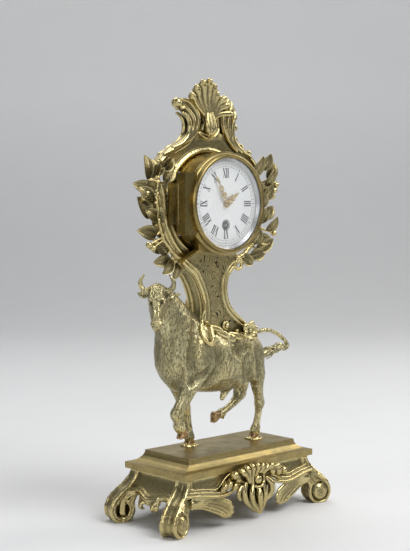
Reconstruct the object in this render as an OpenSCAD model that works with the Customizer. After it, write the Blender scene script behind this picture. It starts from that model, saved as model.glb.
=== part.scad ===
// Figural mantel clock: a walking bull on a scroll-footed plinth carries a small drum clock
// in a cartouche frame with a shell crest and laurel branches.
// Millimetres. +Z is up, +X runs to the right, the dial faces -Y.
// The origin is the middle of the footprint, on the surface that the clock stands on.

/* [Stand] */
// Height of the stand, up to the underside of the plinth
stand_h = 31.6; // [28:0.1:36]
// Width of the stand's neck, left to right
neck_w = 105; // [98:0.5:108]
// Depth of the stand's neck, front to back
neck_d = 48.4; // [44:0.2:51]
// Wall of the stand's neck and aprons
stand_wall = 2.4; // [1.8:0.1:3.4]
// Width of the fluted band on a foot
foot_w = 10.4; // [8:0.2:12]
// Radius of a foot's volute
foot_r = 7.9; // [6.5:0.1:9]
// How far a volute's middle stands out from its neck corner
foot_reach = 9.4; // [7:0.2:12]
// Angle of the feet away from the long axis
foot_splay = 18; // [0:1:35]
// Height of one flute rib on the band
flute_h = 0.6; // [0.3:0.05:0.9]
// Depth of the flat that each foot rests on
foot_flat = 0.35; // [0.2:0.05:0.6]
// Width of the shell cartouche on the front apron
shell_w = 33; // [30:0.5:36]
// Height of the shell cartouche, from its pendant to the top of its fan
shell_h = 33; // [31:0.5:33.4]

/* [Plinth] */
// Thickness of the plinth's flange
flange_t = 3.8; // [2.6:0.1:5]
// Width of the flange
flange_w = 111.6; // [110:0.2:118]
// Depth of the flange
flange_d = 54.2; // [53:0.2:60]
// Rise of the hollow moulding above the flange
plinth_rise = 7; // [5:0.2:10]
// Width of the plinth's top
plinth_w = 91; // [84:0.5:98]
// Depth of the plinth's top
plinth_d = 39.8; // [36:0.2:44]
// Wall of the plinth
plinth_wall = 2.4; // [1.8:0.1:3]

/* [Bull] */
// Height of the bull's back above the plinth
bull_h = 70; // [64:0.5:78]
// Length of the bull, chest to buttock
bull_l = 88; // [82:0.5:92]
// Width of the bull's barrel
bull_w = 33.6; // [30:0.2:37]
// Reach of the tail behind the rump
tail_reach = 26; // [18:0.5:28]
// Radius of a bolt that holds a hoof
hoof_bolt_r = 1.2; // [0.8:0.1:1.5]

/* [Pedestal] */
// Rise of the pedestal from the bull's back to the underside of the case
ped_h = 50.3; // [46:0.1:56]
// Depth of the pedestal, front to back
ped_d = 15; // [12:0.2:18]
// Height of the pedestal's edge mouldings
ped_bead = 0.9; // [0.5:0.1:1.4]
// Radius of the bolt down the pedestal
ped_bolt_r = 1.5; // [1:0.1:2]

/* [Case] */
// Offset of the case's axis from the middle of the stand
case_x = -13; // [-18:0.5:-8]
// Outer radius of the drum
case_r = 30.5; // [29.9:0.1:32]
// Wall of the drum
case_wall = 1.2; // [0.8:0.1:1.4]
// Length of the drum
case_len = 22; // [22:0.2:26]
// Place of the drum's front edge along Y
case_front = -16; // [-18:0.2:-14]
// Height of the rim flange outside the drum
rim_h = 1.5; // [1.1:0.1:2]
// Thickness of the rim flange
rim_t = 2.5; // [1.6:0.1:3]
// Thickness of the cartouche frame
frame_t = 5.4; // [4:0.1:7]
// Height of the crest above the case's axis
crest_h = 76.8; // [72:0.2:80]
// Length of one laurel leaf
leaf_l = 13; // [10:0.5:15]
// Width of one laurel leaf
leaf_w = 6.2; // [4:0.2:7]

/* [Door and glass] */
// Radius of the bezel
bezel_r = 31.5; // [31:0.1:32.5]
// Depth of the bezel, front to back
bezel_d = 6; // [5.8:0.1:7]
// Thickness of the glass
glass_t = 0.9; // [0.6:0.1:1.2]
// Radius of the door hinge pins
pin_r = 0.6; // [0.4:0.05:0.8]
// Thickness of the back door
door_t = 1.2; // [0.8:0.1:1.6]

/* [Dial and hands] */
// Radius of the enamel dial
dial_r = 26.4; // [25:0.1:27]
// Thickness of the enamel dial
dial_t = 1.1; // [0.7:0.1:1.3]
// Distance of the winding hole below the dial's centre
wind_drop = 13; // [12.4:0.1:13.8]
// Radius of the winding hole
wind_hole_r = 2.9; // [2.4:0.1:3.4]
// Length of the minute hand, from its axis
minute_l = 20.5; // [17:0.5:22]
// Length of the hour hand, from its axis
hour_l = 12.5; // [10:0.5:14]
// Minutes shown past the hour
show_minute = 55; // [0:1:59]
// Hour shown
show_hour = 1; // [0:1:11]

/* [Movement] */
// Radius of the movement's plates
plate_r = 28.4; // [27:0.1:28.6]
// Thickness of a movement plate
plate_t = 1.4; // [1:0.1:1.6]
// Room between the plates
train_gap = 9; // [8.8:0.1:9.2]
// Radial clearance of a turning shaft in its hole
run_fit = 0.05; // [0.03:0.01:0.08]
// Teeth on the barrel
barrel_teeth = 72; // [64:1:80]
// Leaves on the centre pinion
centre_leaves = 9; // [8:1:10]
// Teeth on the centre wheel
centre_teeth = 64; // [60:1:68]
// Teeth on the third wheel
third_teeth = 60; // [56:1:64]
// Teeth on the fourth wheel
fourth_teeth = 60; // [56:1:64]
// Leaves on the third and fourth pinions
train_leaves = 8; // [7:1:9]
// Leaves on the escape pinion
escape_leaves = 6; // [6:1:8]
// Size of a tooth, as pitch diameter over teeth, centre wheel
centre_module = 0.28; // [0.26:0.005:0.29]
// Size of a tooth on the third and fourth wheels
train_module = 0.25; // [0.23:0.005:0.26]
// Radius of the balance
balance_r = 5.5; // [4.6:0.1:5.8]

/* [Hidden] */
$fn = 64;

gilt = [0.66, 0.60, 0.38];
old_gilt = [0.50, 0.46, 0.28];
polished = [0.60, 0.56, 0.38];
brass = [0.74, 0.64, 0.36];
steel = [0.55, 0.56, 0.58];
blued = [0.16, 0.17, 0.24];
enamel = [0.90, 0.90, 0.87];
clear = [0.80, 0.86, 0.88, 0.35];

// Heights from the table up, each standing on the one before
flange_top = stand_h + flange_t;
plinth_top = flange_top + plinth_rise;
back_z = plinth_top + bull_h;
case_z = back_z + ped_h + case_r;
// Stations along Y, front to back
case_back = case_front + case_len;
rim_front = case_back - rim_t;
dial_back = case_front - 0.4;
dial_plate_t = 0.8;
plate_front = case_front + 3.6;
train_front = plate_front + plate_t;
train_back = train_front + train_gap;
plate_back = train_back + plate_t;
ped_front = -8;
seat_gap = 0.05;

function unit(v) = v / norm(v);
function polar(r, a) = [r * cos(a), r * sin(a)];

// A smooth line through points of any number of values, k steps to a stretch
function blend(a, b, c, d, t) =
    0.5 * (2 * b + (c - a) * t + (2 * a - 5 * b + 4 * c - d) * t * t
    + (3 * b - a - 3 * c + d) * t * t * t);
function smooth(p, k) = let (last = len(p) - 1)
    concat([for (i = [0:last - 1], j = [0:k - 1])
        blend(p[max(i - 1, 0)], p[i], p[i + 1], p[min(i + 2, last)], j / k)], [p[last]]);

// A flat ribbon along points [x, y, half width], as one outline
function side_of(p, i) =
    let (a = p[max(i - 1, 0)], b = p[min(i + 1, len(p) - 1)], d = unit([b.x - a.x, b.y - a.y]))
    [-d.y, d.x];
function ribbon(p) = concat(
    [for (i = [0:len(p) - 1]) [p[i].x, p[i].y] + side_of(p, i) * p[i][2]],
    [for (i = [len(p) - 1:-1:0]) [p[i].x, p[i].y] - side_of(p, i) * p[i][2]]);
function spiral(c, r0, r1, a0, a1, n, w0, w1) = [for (i = [0:n]) let (t = i / n)
    concat(c + polar(r0 + (r1 - r0) * t, a0 + (a1 - a0) * t), [w0 + (w1 - w0) * t])];

// A closed tube through stations [x, y, z, half width, half height]
module loft(st, side = [0, 1, 0], n = 14) {
    last = len(st) - 1;
    at = [for (s = st) [s[0], s[1], s[2]]];
    points = [for (i = [0:last])
        let (t = unit(at[min(i + 1, last)] - at[max(i - 1, 0)]),
            s = unit(side - t * (side * t)),
            u = cross(t, s))
        for (j = [0:n - 1])
            at[i] + s * st[i][3] * cos(360 * j / n) + u * st[i][4] * sin(360 * j / n)];
    walls = [for (i = [0:last - 1], j = [0:n - 1])
        let (a = i * n + j, b = a + n, d = i * n + (j + 1) % n, c = d + n)
        each [[a, b, c], [a, c, d]]];
    caps = [for (j = [1:n - 2]) each [[0, j, j + 1], [last * n, last * n + j + 1, last * n + j]]];
    polyhedron(points, concat(walls, caps));
}

// Flat drawings seen from the front, laid on the case's axis between two Y stations
module slab(front, back) {
    translate([case_x, back, case_z])
        rotate([90, 0, 0])
            linear_extrude(back - front)
                children();
}

module rod(x, z, front, back, r) {
    translate([case_x + x, back, case_z + z])
        rotate([90, 0, 0])
            cylinder(r = r, h = back - front);
}

// A turned ring or disc about the case's axis; its profile is [radius, distance forward of the case]
module turned(profile) {
    translate([case_x, case_front, case_z])
        rotate([90, 0, 0])
            rotate_extrude($fn = 96)
                polygon(profile);
}

module drawing(front, back) {
    translate([0, back, 0])
        rotate([90, 0, 0])
            linear_extrude(back - front)
                children();
}

// Stand

foot_side_at = [neck_w / 2 + 0.5, neck_d / 2 - 2.2];
foot_centre = [foot_reach, foot_r - foot_flat];

// The leg above the volute: a hollow curve outside, thick where it leaves the neck
function leg_outline(grow) = concat(
    smooth([for (p = [[0, stand_h], [0.3, stand_h - 2.6], [2.2, stand_h - 5.8],
        [foot_reach * 0.62, stand_h - 9.4], [foot_reach * 1.1, stand_h - 12.8],
        foot_centre + polar(foot_r - flute_h, 48)]) p + [grow, grow * 0.5]], 3),
    [foot_centre, foot_centre + polar(foot_r - flute_h, 150)],
    [[foot_reach - foot_r * 1.15, foot_r * 1.9], [-3.6, stand_h - 9], [-4, stand_h]]);

module foot_side(grow) {
    translate(foot_centre)
        circle(r = foot_r - flute_h + grow);
    polygon(leg_outline(grow));
}

module foot() {
    rib_w = foot_w / 7;
    volute = spiral(foot_centre, foot_r - 1.3, 1.6, 30, 560, 26, 0.8, 0.5);
    rotate([90, 0, 0]) {
        translate([0, 0, -foot_w / 2])
            linear_extrude(foot_w)
                foot_side(0);
        for (k = [-3, -1, 1, 3])
            translate([0, 0, k * rib_w - rib_w / 2])
                linear_extrude(rib_w)
                    foot_side(flute_h);
        for (s = [-1, 1])
            translate([0, 0, s * foot_w / 2 - 0.6])
                linear_extrude(1.2) {
                    polygon(ribbon(volute));
                    translate(foot_centre)
                        circle(r = 1.9);
                }
    }
}

// Cross-section of an apron: [out from the neck, down from the top]
apron_curve = smooth([[0, 0], [0.2, -2.6], [1, -5.2], [2.6, -8], [4.8, -10.8], [7.6, -13.6],
    [10.4, -16.2]], 2);
module apron_wall(proud) {
    outer = [for (p = apron_curve) [p.x + proud, stand_h + p.y]];
    inner = [for (i = [len(apron_curve) - 1:-1:0])
        [apron_curve[i].x - stand_wall, stand_h + apron_curve[i].y]];
    polygon(concat(outer, inner));
}

// Lower edges of the aprons, from a foot to the middle, and the leaf that hangs beside each foot
front_arch = [[52, 21.6], [42, 21.4], [33, 19.8], [25, 20.6], [19, 23], [12, 22], [0, 20]];
end_arch = [[23, 17.4], [17, 18.4], [11, 19.6], [6, 18.8], [2.5, 16.6], [0, 16]];
front_leaf = [[52, 23], [51, 16.4], [45, 15], [37, 11], [30, 8.8], [25, 5.8], [20.4, 5.6],
    [18, 9], [19, 12.5], [22, 15.2], [26, 17.4], [31, 21.6], [40, 23.4]];
end_leaf = [[0, 10.6], [2.4, 12.2], [5, 10.6], [8, 11.6], [9.6, 14.6], [8.6, 19.6], [0, 20.4]];

function mirrored(p) = concat(p, [for (i = [len(p) - 2:-1:0]) [-p[i].x, p[i].y]]);

rib_proud = 0.9;

// One apron on the +Y side: w across it, half from the middle to the neck
module apron(w, half, arch) {
    k = [w / 2 / arch[0].x, stand_h / 31.6];
    edge = [for (p = mirrored(smooth(arch, 2))) [p.x * k.x, p.y * k.y]];
    cut = concat(edge, [[-w, stand_h + 1], [w, stand_h + 1]]);
    module wall(proud, outline) {
        intersection() {
            translate([-w / 2, 0, 0])
                rotate([90, 0, 90])
                    linear_extrude(w)
                        translate([half, 0])
                            apron_wall(proud);
            rotate([90, 0, 180])
                translate([0, 0, half - stand_wall - 1])
                    linear_extrude(stand_wall + 14)
                        polygon(outline);
        }
    }
    wall(0, cut);
    wall(rib_proud, ribbon([for (p = edge) [p.x, p.y + 1.1, 1.1]]));
}

module stand() {
    leaf_back = neck_d / 2 + 1.6;
    color(old_gilt)
        difference() {
            union() {
                translate([-neck_w / 2, -neck_d / 2, stand_h - 3])
                    cube([neck_w, neck_d, 3]);
                for (a = [0, 180])
                    rotate(a) {
                        apron(neck_w - 1, neck_d / 2, front_arch);
                        for (s = [-1, 1])
                            translate([0, leaf_back + 3, 0])
                                rotate([90, 0, 0])
                                    linear_extrude(3)
                                        polygon([for (p = front_leaf)
                                            [s * p.x * neck_w / 105, p.y * stand_h / 31.6]]);
                    }
                for (a = [90, 270])
                    rotate(a) {
                        apron(neck_d - 2.4, neck_w / 2, end_arch);
                        translate([0, neck_w / 2 + 5.4, 0])
                            rotate([90, 0, 0])
                                linear_extrude(2.6)
                                    polygon([for (p = mirrored(end_leaf))
                                        [p.x, p.y * stand_h / 31.6]]);
                    }
                for (sx = [-1, 1], sy = [-1, 1])
                    translate([sx * foot_side_at.x, sy * foot_side_at.y, 0])
                        rotate(sx > 0 ? sy * foot_splay : 180 - sy * foot_splay)
                            foot();
            }
            difference() {
                translate([-neck_w / 2 + 5, -neck_d / 2 + 5, stand_h - 4])
                    cube([neck_w - 10, neck_d - 10, 5]);
                for (p = screw_spots)
                    translate([p.x, p.y, stand_h - 5])
                        cylinder(r = 4.6, h = 7);
            }
            for (p = screw_spots)
                translate([p.x, p.y, stand_h - 4])
                    cylinder(r = stand_screw_r, h = 5);
            for (z = [-3, stand_h])
                translate([-neck_w, -neck_d, z])
                    cube([neck_w * 2, neck_d * 2, 3]);
        }
}

stand_screw_r = 1.5;
screw_spots = [for (sx = [-1, 1], sy = [-1, 1])
    [sx * (neck_w / 2 - 11), sy * (neck_d / 2 - 8)]];

module stand_screws() {
    color(steel)
        for (p = screw_spots)
            translate([p.x, p.y, 0]) {
                translate([0, 0, stand_h - 4])
                    cylinder(r = stand_screw_r - run_fit, h = 3 + plinth_rise);
                translate([0, 0, stand_h - 5])
                    cylinder(r = 2.6, h = 2);
            }
}

// A fan of lobes over a boss, and a curling pendant, fitted to the apron behind it
module apron_shell() {
    flange_face = -flange_d / 2 - seat_gap;
    top = stand_h + flange_t + 1;
    mid = [0, -neck_d / 2 - 5.4, top - shell_h * 0.36];
    module knob(x, y, z, r) {
        translate(mid + [x * shell_w, y, z * shell_h])
            sphere(r = r, $fn = 10);
    }
    color(gilt)
        difference() {
            union() {
                for (a = [-108:27:108])
                    hull() {
                        knob(0.12 * sin(a), -0.6, 0.09 * cos(a), 1.6);
                        knob(0.43 * sin(a), 0.8 * cos(a) - 0.6, 0.31 * cos(a), 2.3);
                    }
                for (s = [-1, 1])
                    hull() {
                        knob(s * 0.34, -1.6, -0.16, 2.4);
                        knob(s * 0.16 + 0.04, -2, -0.4, 1.4);
                    }
                hull() {
                    knob(0, -1.8, -0.1, 3.4);
                    knob(0.02, -2, -0.38, 2.6);
                    knob(0.08, -1.6, -0.6, 0.9);
                }
                knob(0, -2, 0, 3.4);
            }
            translate([-shell_w, flange_face, stand_h - 0.1])
                cube([shell_w * 2, 20, 20]);
            translate([-shell_w, 0, 0])
                mirror([0, 1, 0])
                    rotate([90, 0, 90])
                        linear_extrude(shell_w * 2)
                            polygon(concat([for (p = apron_curve) if (p.y > -12.5)
                                [neck_d / 2 + p.x + rib_proud + seat_gap, stand_h + p.y]],
                                [[0, stand_h - 12.3], [0, stand_h]]));
        }
}

// Plinth: a flange with a hollow moulding above it, cast as a shell
module plinth_profile(low, high) {
    rise = [for (i = [0:6]) let (a = 90 * i / 6)
        [high + (low - high) * (1 - sin(a)), flange_top + plinth_rise * (1 - cos(a))]];
    side = concat([[low, stand_h], [low, flange_top]], [for (i = [1:6]) rise[i]]);
    polygon(concat(side, [for (i = [len(side) - 1:-1:0]) [-side[i].x, side[i].y]]));
}

module plinth() {
    color(old_gilt)
        difference() {
            intersection() {
                translate([-flange_w / 2, 0, 0])
                    rotate([90, 0, 90])
                        linear_extrude(flange_w)
                            plinth_profile(flange_d / 2, plinth_d / 2);
                translate([0, flange_d / 2, 0])
                    rotate([90, 0, 0])
                        linear_extrude(flange_d)
                            plinth_profile(flange_w / 2, plinth_w / 2);
            }
            difference() {
                translate([-plinth_w / 2 + plinth_wall, -plinth_d / 2 + plinth_wall, stand_h - 1])
                    cube([plinth_w - 2 * plinth_wall, plinth_d - 2 * plinth_wall,
                        plinth_top - plinth_wall - stand_h + 1]);
                for (p = screw_spots)
                    translate([p.x, p.y, stand_h])
                        cylinder(r = 3.4, h = plinth_top - stand_h);
            }
            for (p = screw_spots)
                translate([p.x, p.y, stand_h - 1])
                    cylinder(r = stand_screw_r, h = plinth_rise + 0.5);
            for (p = hoof_spots)
                translate([p.x, p.y, stand_h])
                    cylinder(r = hoof_bolt_r + run_fit, h = plinth_top);
        }
}

// Bull. Its stations are drawn for a bull 88 long, 33.6 wide and 70 high, from the plinth's top
function grown(s) = [s[0] * bull_l / 88, s[1] * bull_w / 33.6, s[2] * bull_h / 70 + plinth_top,
    s[3] * bull_w / 33.6, s[4] * bull_h / 70];
function grown_at(p) = [p.x * bull_l / 88, p.y * bull_w / 33.6, p.z * bull_h / 70 + plinth_top];

barrel_of_bull = [[-46, 0, 60, 3.6, 5.4], [-44, 0, 60, 7.8, 11], [-40.5, 0, 59.4, 11.2, 16.4],
    [-35.5, 0, 59, 14, 20.4], [-28, 0, 58, 16.2, 22.4], [-18, 0, 56, 16.8, 21.6],
    [-8, 0, 53, 16.8, 20.4], [2, 0, 51.6, 16.6, 19.4], [12, 0, 52.6, 15.8, 17.6],
    [21, 0, 55, 15.2, 15.8], [28, 0, 56.2, 13.8, 14.4], [33.5, 0, 55.8, 10.6, 11],
    [36.6, 0, 55.4, 5.6, 6]];
neck_of_bull = [[-30, 0, 64, 13.8, 15.6], [-38, -0.6, 74, 12.4, 13.4], [-45.5, -2, 84.6, 9.8, 10.8],
    [-51.5, -3.6, 92.6, 7.4, 8.6], [-55.8, -5, 98, 5.2, 5.8]];
dewlap_of_bull = [[-56, -7.4, 88, 3, 3.6], [-51.4, -5.8, 79, 3.8, 4.6], [-49.6, -4.4, 67, 4.2, 5.2],
    [-46, -2.2, 54, 5, 5.6], [-39, -0.6, 42.6, 4.6, 4.6], [-33, 0, 37.6, 3, 3]];
head_side = [-0.57, 0.82, 0];
head_mid = [-58.2, -6, 0];
head_of_bull = [[-57.2, -5.2, 102, 2.6, 1.8], [-58.2, -6, 99.4, 4.7, 4], [-59.8, -7.8, 95, 5, 5.2],
    [-61.6, -9.8, 89.4, 4, 4.8], [-63.6, -11.8, 84.2, 3.3, 4], [-64.8, -13, 81, 3.5, 3.6],
    [-65.4, -13.6, 79, 2.4, 2.2]];
horn_line = [[4, 99.6, 2.1, 2.1], [7.8, 99.8, 1.8, 1.8], [9.9, 102.2, 1.5, 1.5],
    [9.9, 105.4, 1.2, 1.2], [7.8, 108.6, 0.5, 0.5]];
// Legs: each station [x, y, z, half width, half depth], from inside the barrel down to the pastern
standing_fore = [[-33, 8, 54, 7, 9], [-29.5, 9, 42, 5.2, 6.6], [-25, 9.6, 32, 3.7, 4.4],
    [-21.8, 10, 25, 3.3, 3.7], [-19.6, 10, 16, 2.2, 2.5], [-18.2, 10, 8.6, 2.2, 2.5],
    [-17.8, 10, 5, 2.9, 3.1], [-17.6, 10, 2.6, 2.8, 3]];
raised_fore = [[-30, -8.4, 56, 6.6, 9], [-32.6, -9.6, 46, 5.4, 6.8], [-38.4, -9.8, 37, 4.2, 4.8],
    [-43.6, -9.4, 29, 3.6, 3.9], [-45.8, -9, 25.4, 3.4, 3.6], [-45.4, -9, 21.8, 2.8, 3],
    [-44.8, -9, 18.8, 3.2, 3.3], [-42.8, -9, 16, 3, 3], [-41.4, -9, 14, 2.7, 2.7]];
standing_hind = [[23, -8.4, 50, 6.8, 9], [24, -8, 43, 5.2, 5.6], [25, -7.2, 36.4, 4, 4],
    [28.2, -5.8, 28.6, 2.6, 2.8], [29.8, -4.8, 22.9, 2.3, 2.5], [30, -4, 16.5, 2.1, 2.2],
    [28.8, -3.2, 9.3, 2.2, 2.4], [27.8, -2.6, 5, 2.8, 3], [27.2, -2.4, 2.6, 2.8, 3]];
raised_hind = [[23, 8.4, 48, 6.6, 10.4], [26, 9, 38, 5.4, 7.2], [26, 9, 30.8, 4.2, 5],
    [23.2, 8.4, 26.2, 3.3, 3.8], [17.4, 8, 22, 2.5, 2.8], [11, 8, 18.8, 2.3, 2.5],
    [7, 8, 17.2, 2.8, 2.8], [5.2, 8, 16.2, 2.7, 2.7], [3.2, 8, 15.7, 2.1, 2.1]];
tail_line = [[33, 1, 67.6, 2.1, 2.1], [38, 1.4, 70.4, 1.8, 1.8], [46, 2, 70.6, 1.6, 1.6],
    [54, 2, 67.6, 1.5, 1.5], [60, 1.6, 61.6, 1.5, 1.5], [61, 1.2, 57, 1.6, 1.6],
    [56, 1, 54.6, 2.1, 2], [49, 0.6, 54, 2.8, 2.4], [41.4, 0.2, 51.6, 2.8, 2.2],
    [38.6, 0, 47.6, 0.8, 0.8]];

// Middle of the sole of each standing hoof
hoof_places = [[-18, 10, 0], [27, -2.4, 0]];
hoof_spots = [for (p = hoof_places) grown_at(p)];

module limb(stations, side, n) {
    loft([for (s = smooth(stations, 2)) grown(s)], side, n);
}

// A cloven hoof: two toes side by side, the toes pointing along -X when the tilt is 0
module hoof(at, tilt) {
    translate(at)
        rotate([0, tilt, 0])
            for (s = [-1, 1])
                hull() {
                    translate([0.4, s * 1.4, 3.6])
                        sphere(r = 1.7, $fn = 8);
                    translate([-2.6, s * 1.3, 0.4])
                        cylinder(r = 1, h = 0.8, center = true, $fn = 8);
                    translate([1.4, s * 1.4, 0.4])
                        cylinder(r = 1.5, h = 0.8, center = true, $fn = 8);
                }
}

module bull_flesh() {
    limb(barrel_of_bull, [0, 1, 0], 20);
    limb(neck_of_bull, [0, 1, 0], 16);
    limb(dewlap_of_bull, [0, 1, 0], 12);
    limb(head_of_bull, head_side, 14);
    limb(standing_fore, [0, 1, 0], 10);
    limb(raised_fore, [0, 1, 0], 10);
    limb(standing_hind, [0, 1, 0], 10);
    limb(raised_hind, [0, 1, 0], 10);
    for (p = hoof_places)
        hoof(grown_at(p), 0);
    hoof(grown_at([-40.6, -9, 10.6]), -14);
    hoof(grown_at([3.6, 8, 13.6]), -32);
    for (p = hoof_places)
        translate(grown_at(p))
            hull()
                for (s = [-1, 1])
                    translate([s * 2.4, 0, 0])
                        cylinder(r1 = 5.2, r2 = 3.6, h = 1.4, $fn = 10);
    // Brow, muzzle, sheath, horns and ears
    hull()
        for (s = [-1, 1])
            translate(grown_at(head_mid + [0, 0, 99.6] + s * 3.2 * head_side))
                sphere(r = 1.9, $fn = 10);
    hull()
        for (s = [-1, 1])
            translate(grown_at([-65, -13.4, 80.2] + s * 1.5 * head_side))
                sphere(r = 2.2, $fn = 10);
    hull() {
        translate(grown_at([5, 0, 36]))
            sphere(r = 4, $fn = 10);
        translate(grown_at([1, 0, 27]))
            sphere(r = 1.6, $fn = 10);
    }
    for (s = [-1, 1]) {
        limb([for (h = horn_line) let (p = head_mid + s * h[0] * head_side)
            [p.x, p.y, h[1], h[2], h[3]]], [head_side.y, -head_side.x, 0], 10);
        hull() {
            translate(grown_at(head_mid + [0.8, 0.6, 97.4] + s * 4.6 * head_side))
                sphere(r = 1.2, $fn = 8);
            translate(grown_at(head_mid + [3.2, 2, 97] + s * 9 * head_side))
                sphere(r = 1.5, $fn = 8);
            translate(grown_at(head_mid + [5, 3, 98] + s * 12.4 * head_side))
                sphere(r = 0.5, $fn = 8);
        }
    }
}

module bull() {
    color(gilt)
        difference() {
            bull_flesh();
            pedestal_blank();
            for (p = hoof_spots)
                translate([p.x, p.y, plinth_top - 1])
                    cylinder(r = hoof_bolt_r + run_fit, h = 6, $fn = 24);
            translate([case_x, ped_mid, back_z - 14])
                cylinder(r = ped_bolt_r + run_fit, h = 30, $fn = 24);
            translate([-bull_l, -bull_w, plinth_top - 5])
                cube([bull_l * 2, bull_w * 2, 5]);
        }
}

module tail() {
    color(gilt)
        difference() {
            loft([for (s = smooth(tail_line, 3)) let (g = grown(s))
                [bull_l * 0.4 + (g[0] - bull_l * 0.4) * tail_reach / 26, g[1], g[2], g[3], g[4]]],
                [0, 1, 0], 10);
            bull_flesh();
        }
}

module hoof_bolts() {
    color(steel)
        for (p = hoof_spots)
            translate([p.x, p.y, plinth_top - plinth_wall]) {
                cylinder(r = hoof_bolt_r, h = plinth_wall + 4.6);
                translate([0, 0, -1.2])
                    cylinder(r = hoof_bolt_r * 2, h = 1.2);
            }
}

// Pedestal. Its outline is drawn about the case's axis, up from the bull's back, 50.3 high
ped_mid = ped_front + ped_d / 2;
left_edge = [[-27, 45], [-22, 41], [-16.5, 36.4], [-12.4, 29.6], [-9.6, 22.2], [-8.8, 15], [-9.8, 10]];
right_edge = [[24, -6], [31, -5.6], [34, -1.6], [29.4, 4.6], [23.8, 9], [18.4, 13.2], [13.4, 18.4],
    [10.8, 25.4], [11.2, 33], [14.6, 38.6], [20, 43]];
bottom_edge = [[-6.4, 5.6], [0, 4], [6, 1], [12, -4.4], [17.6, -3]];
top_edge = [[23, 47], [18, 51], [12, 54], [-12, 54], [-18, 51], [-24, 48]];
function ped_tall(p) = [for (q = p) [q.x, q.y * ped_h / 50.3]];

module ped_drawing(front, back) {
    translate([case_x, back, back_z])
        rotate([90, 0, 0])
            linear_extrude(back - front)
                children();
}

hook_line = [[-7.6, 25, 1.2], [-9.4, 18, 1.4], [-13.4, 12.6, 1.4], [-19, 8.6, 1.5], [-21.8, 3.4, 1.5],
    [-19.6, -1.6, 1.5], [-14.6, -2.6, 1.5], [-10.4, 0.2, 1.8]];
hook_d = 6;

module pedestal_blank() {
    front = ped_front;
    back = ped_front + ped_d;
    ped_drawing(front, back)
        polygon(concat(ped_tall(smooth(left_edge, 3)), ped_tall(bottom_edge),
            ped_tall(smooth(right_edge, 3)), ped_tall(top_edge)));
    for (y = [[front - hook_d, front + 2], [back - 2, back + hook_d]])
        ped_drawing(y[0], y[1]) {
            polygon(ribbon(smooth([for (p = hook_line) [p.x, p.y * ped_h / 50.3, p[2]]], 3)));
            translate([27.5, -1.6 * ped_h / 50.3])
                circle(r = 4.4);
        }
}

module edge_bead(edge, inset, w, face) {
    line = smooth([for (p = ped_tall(edge)) [p.x, p.y, w]], 3);
    moved = [for (i = [0:len(line) - 1]) let (q = side_of(line, i) * inset)
        [line[i].x + q.x, line[i].y + q.y, w]];
    ped_drawing(face[0], face[1])
        polygon(ribbon(moved));
}

module pedestal() {
    back = ped_front + ped_d;
    color(gilt)
        difference() {
            union() {
                pedestal_blank();
                for (face = [[ped_front - ped_bead, ped_front + 0.5], [back - 0.5, back + ped_bead]]) {
                    edge_bead(left_edge, 1.2, 0.8, face);
                    edge_bead(left_edge, 3.6, 0.6, face);
                    edge_bead([for (i = [4:10]) right_edge[i]], 1.2, 0.8, face);
                    edge_bead([for (i = [4:10]) right_edge[i]], 3.6, 0.6, face);
                    ped_drawing(face[0], face[1]) {
                        translate([20.4, 41.6 * ped_h / 50.3])
                            difference() {
                                circle(r = 3.8);
                                circle(r = 2.6);
                            }
                        translate([9.4, 5.2])
                            circle(r = 2.6);
                    }
                }
            }
            rod(0, 0, ped_front - 20, rim_front, case_r + seat_gap);
            rod(0, 0, rim_front - seat_gap, back + 20, case_r + rim_h + seat_gap);
            translate([case_x, ped_mid, back_z - 20])
                cylinder(r = ped_bolt_r + run_fit, h = 2 * ped_h);
        }
}

module pedestal_bolt() {
    floor_z = case_z - sqrt(pow(case_r - case_wall, 2) - 9) + 0.1;
    color(steel)
        translate([case_x, ped_mid, 0]) {
            translate([0, 0, back_z - 9])
                cylinder(r = ped_bolt_r, h = floor_z - back_z + 9.5);
            translate([0, 0, floor_z])
                cylinder(r = ped_bolt_r * 1.8, h = 1.6);
        }
}

// Case. The drum has a rim flange at the back, with four lugs for the screws of the frame

hinge_x = case_r + 2.7;
knuckle_r = pin_r + 0.9;
knuckle_l = 4;
knuckle_step = 4.6;
back_hinge_y = case_back + 0.1;
// The bezel's hinge is a long one: a block on the drum, and a strap on the bezel that runs past it
bezel_hinge_y = case_front + 3.7;
block_half = 12;
strap_half = 18.3;
strap_front = case_front - 3;
strap_t = 1.2;
case_inner = case_r - case_wall;
lug_angles = [40, 140, 220, 320];
lug_ring = case_r + 2.4;
lug_screw_r = 0.8;
ledge_r = plate_r - 1.4;
ledge_t = 1.6;

// The back door's knuckles are barrels on the right, each joined to its own side by a tab
module knuckle(z, l, tab_front, tab_back) {
    translate([case_x + hinge_x, back_hinge_y, case_z + z - l / 2])
        cylinder(r = knuckle_r, h = l, $fn = 32);
    translate([case_x + hinge_x - 3.4, tab_front, case_z + z - l / 2])
        cube([3.4, tab_back - tab_front, l]);
}

// The bezel's knuckles stand above and below the drum's, each a barrel on the left hinge line
module bezel_barrel(r, low, high) {
    translate([case_x - hinge_x, bezel_hinge_y, case_z + low])
        cylinder(r = r, h = high - low, $fn = 32);
}

module hinge_bore(s, y) {
    translate([case_x + s * hinge_x, y, case_z - 20])
        cylinder(r = pin_r + run_fit, h = 40, $fn = 32);
}

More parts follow.
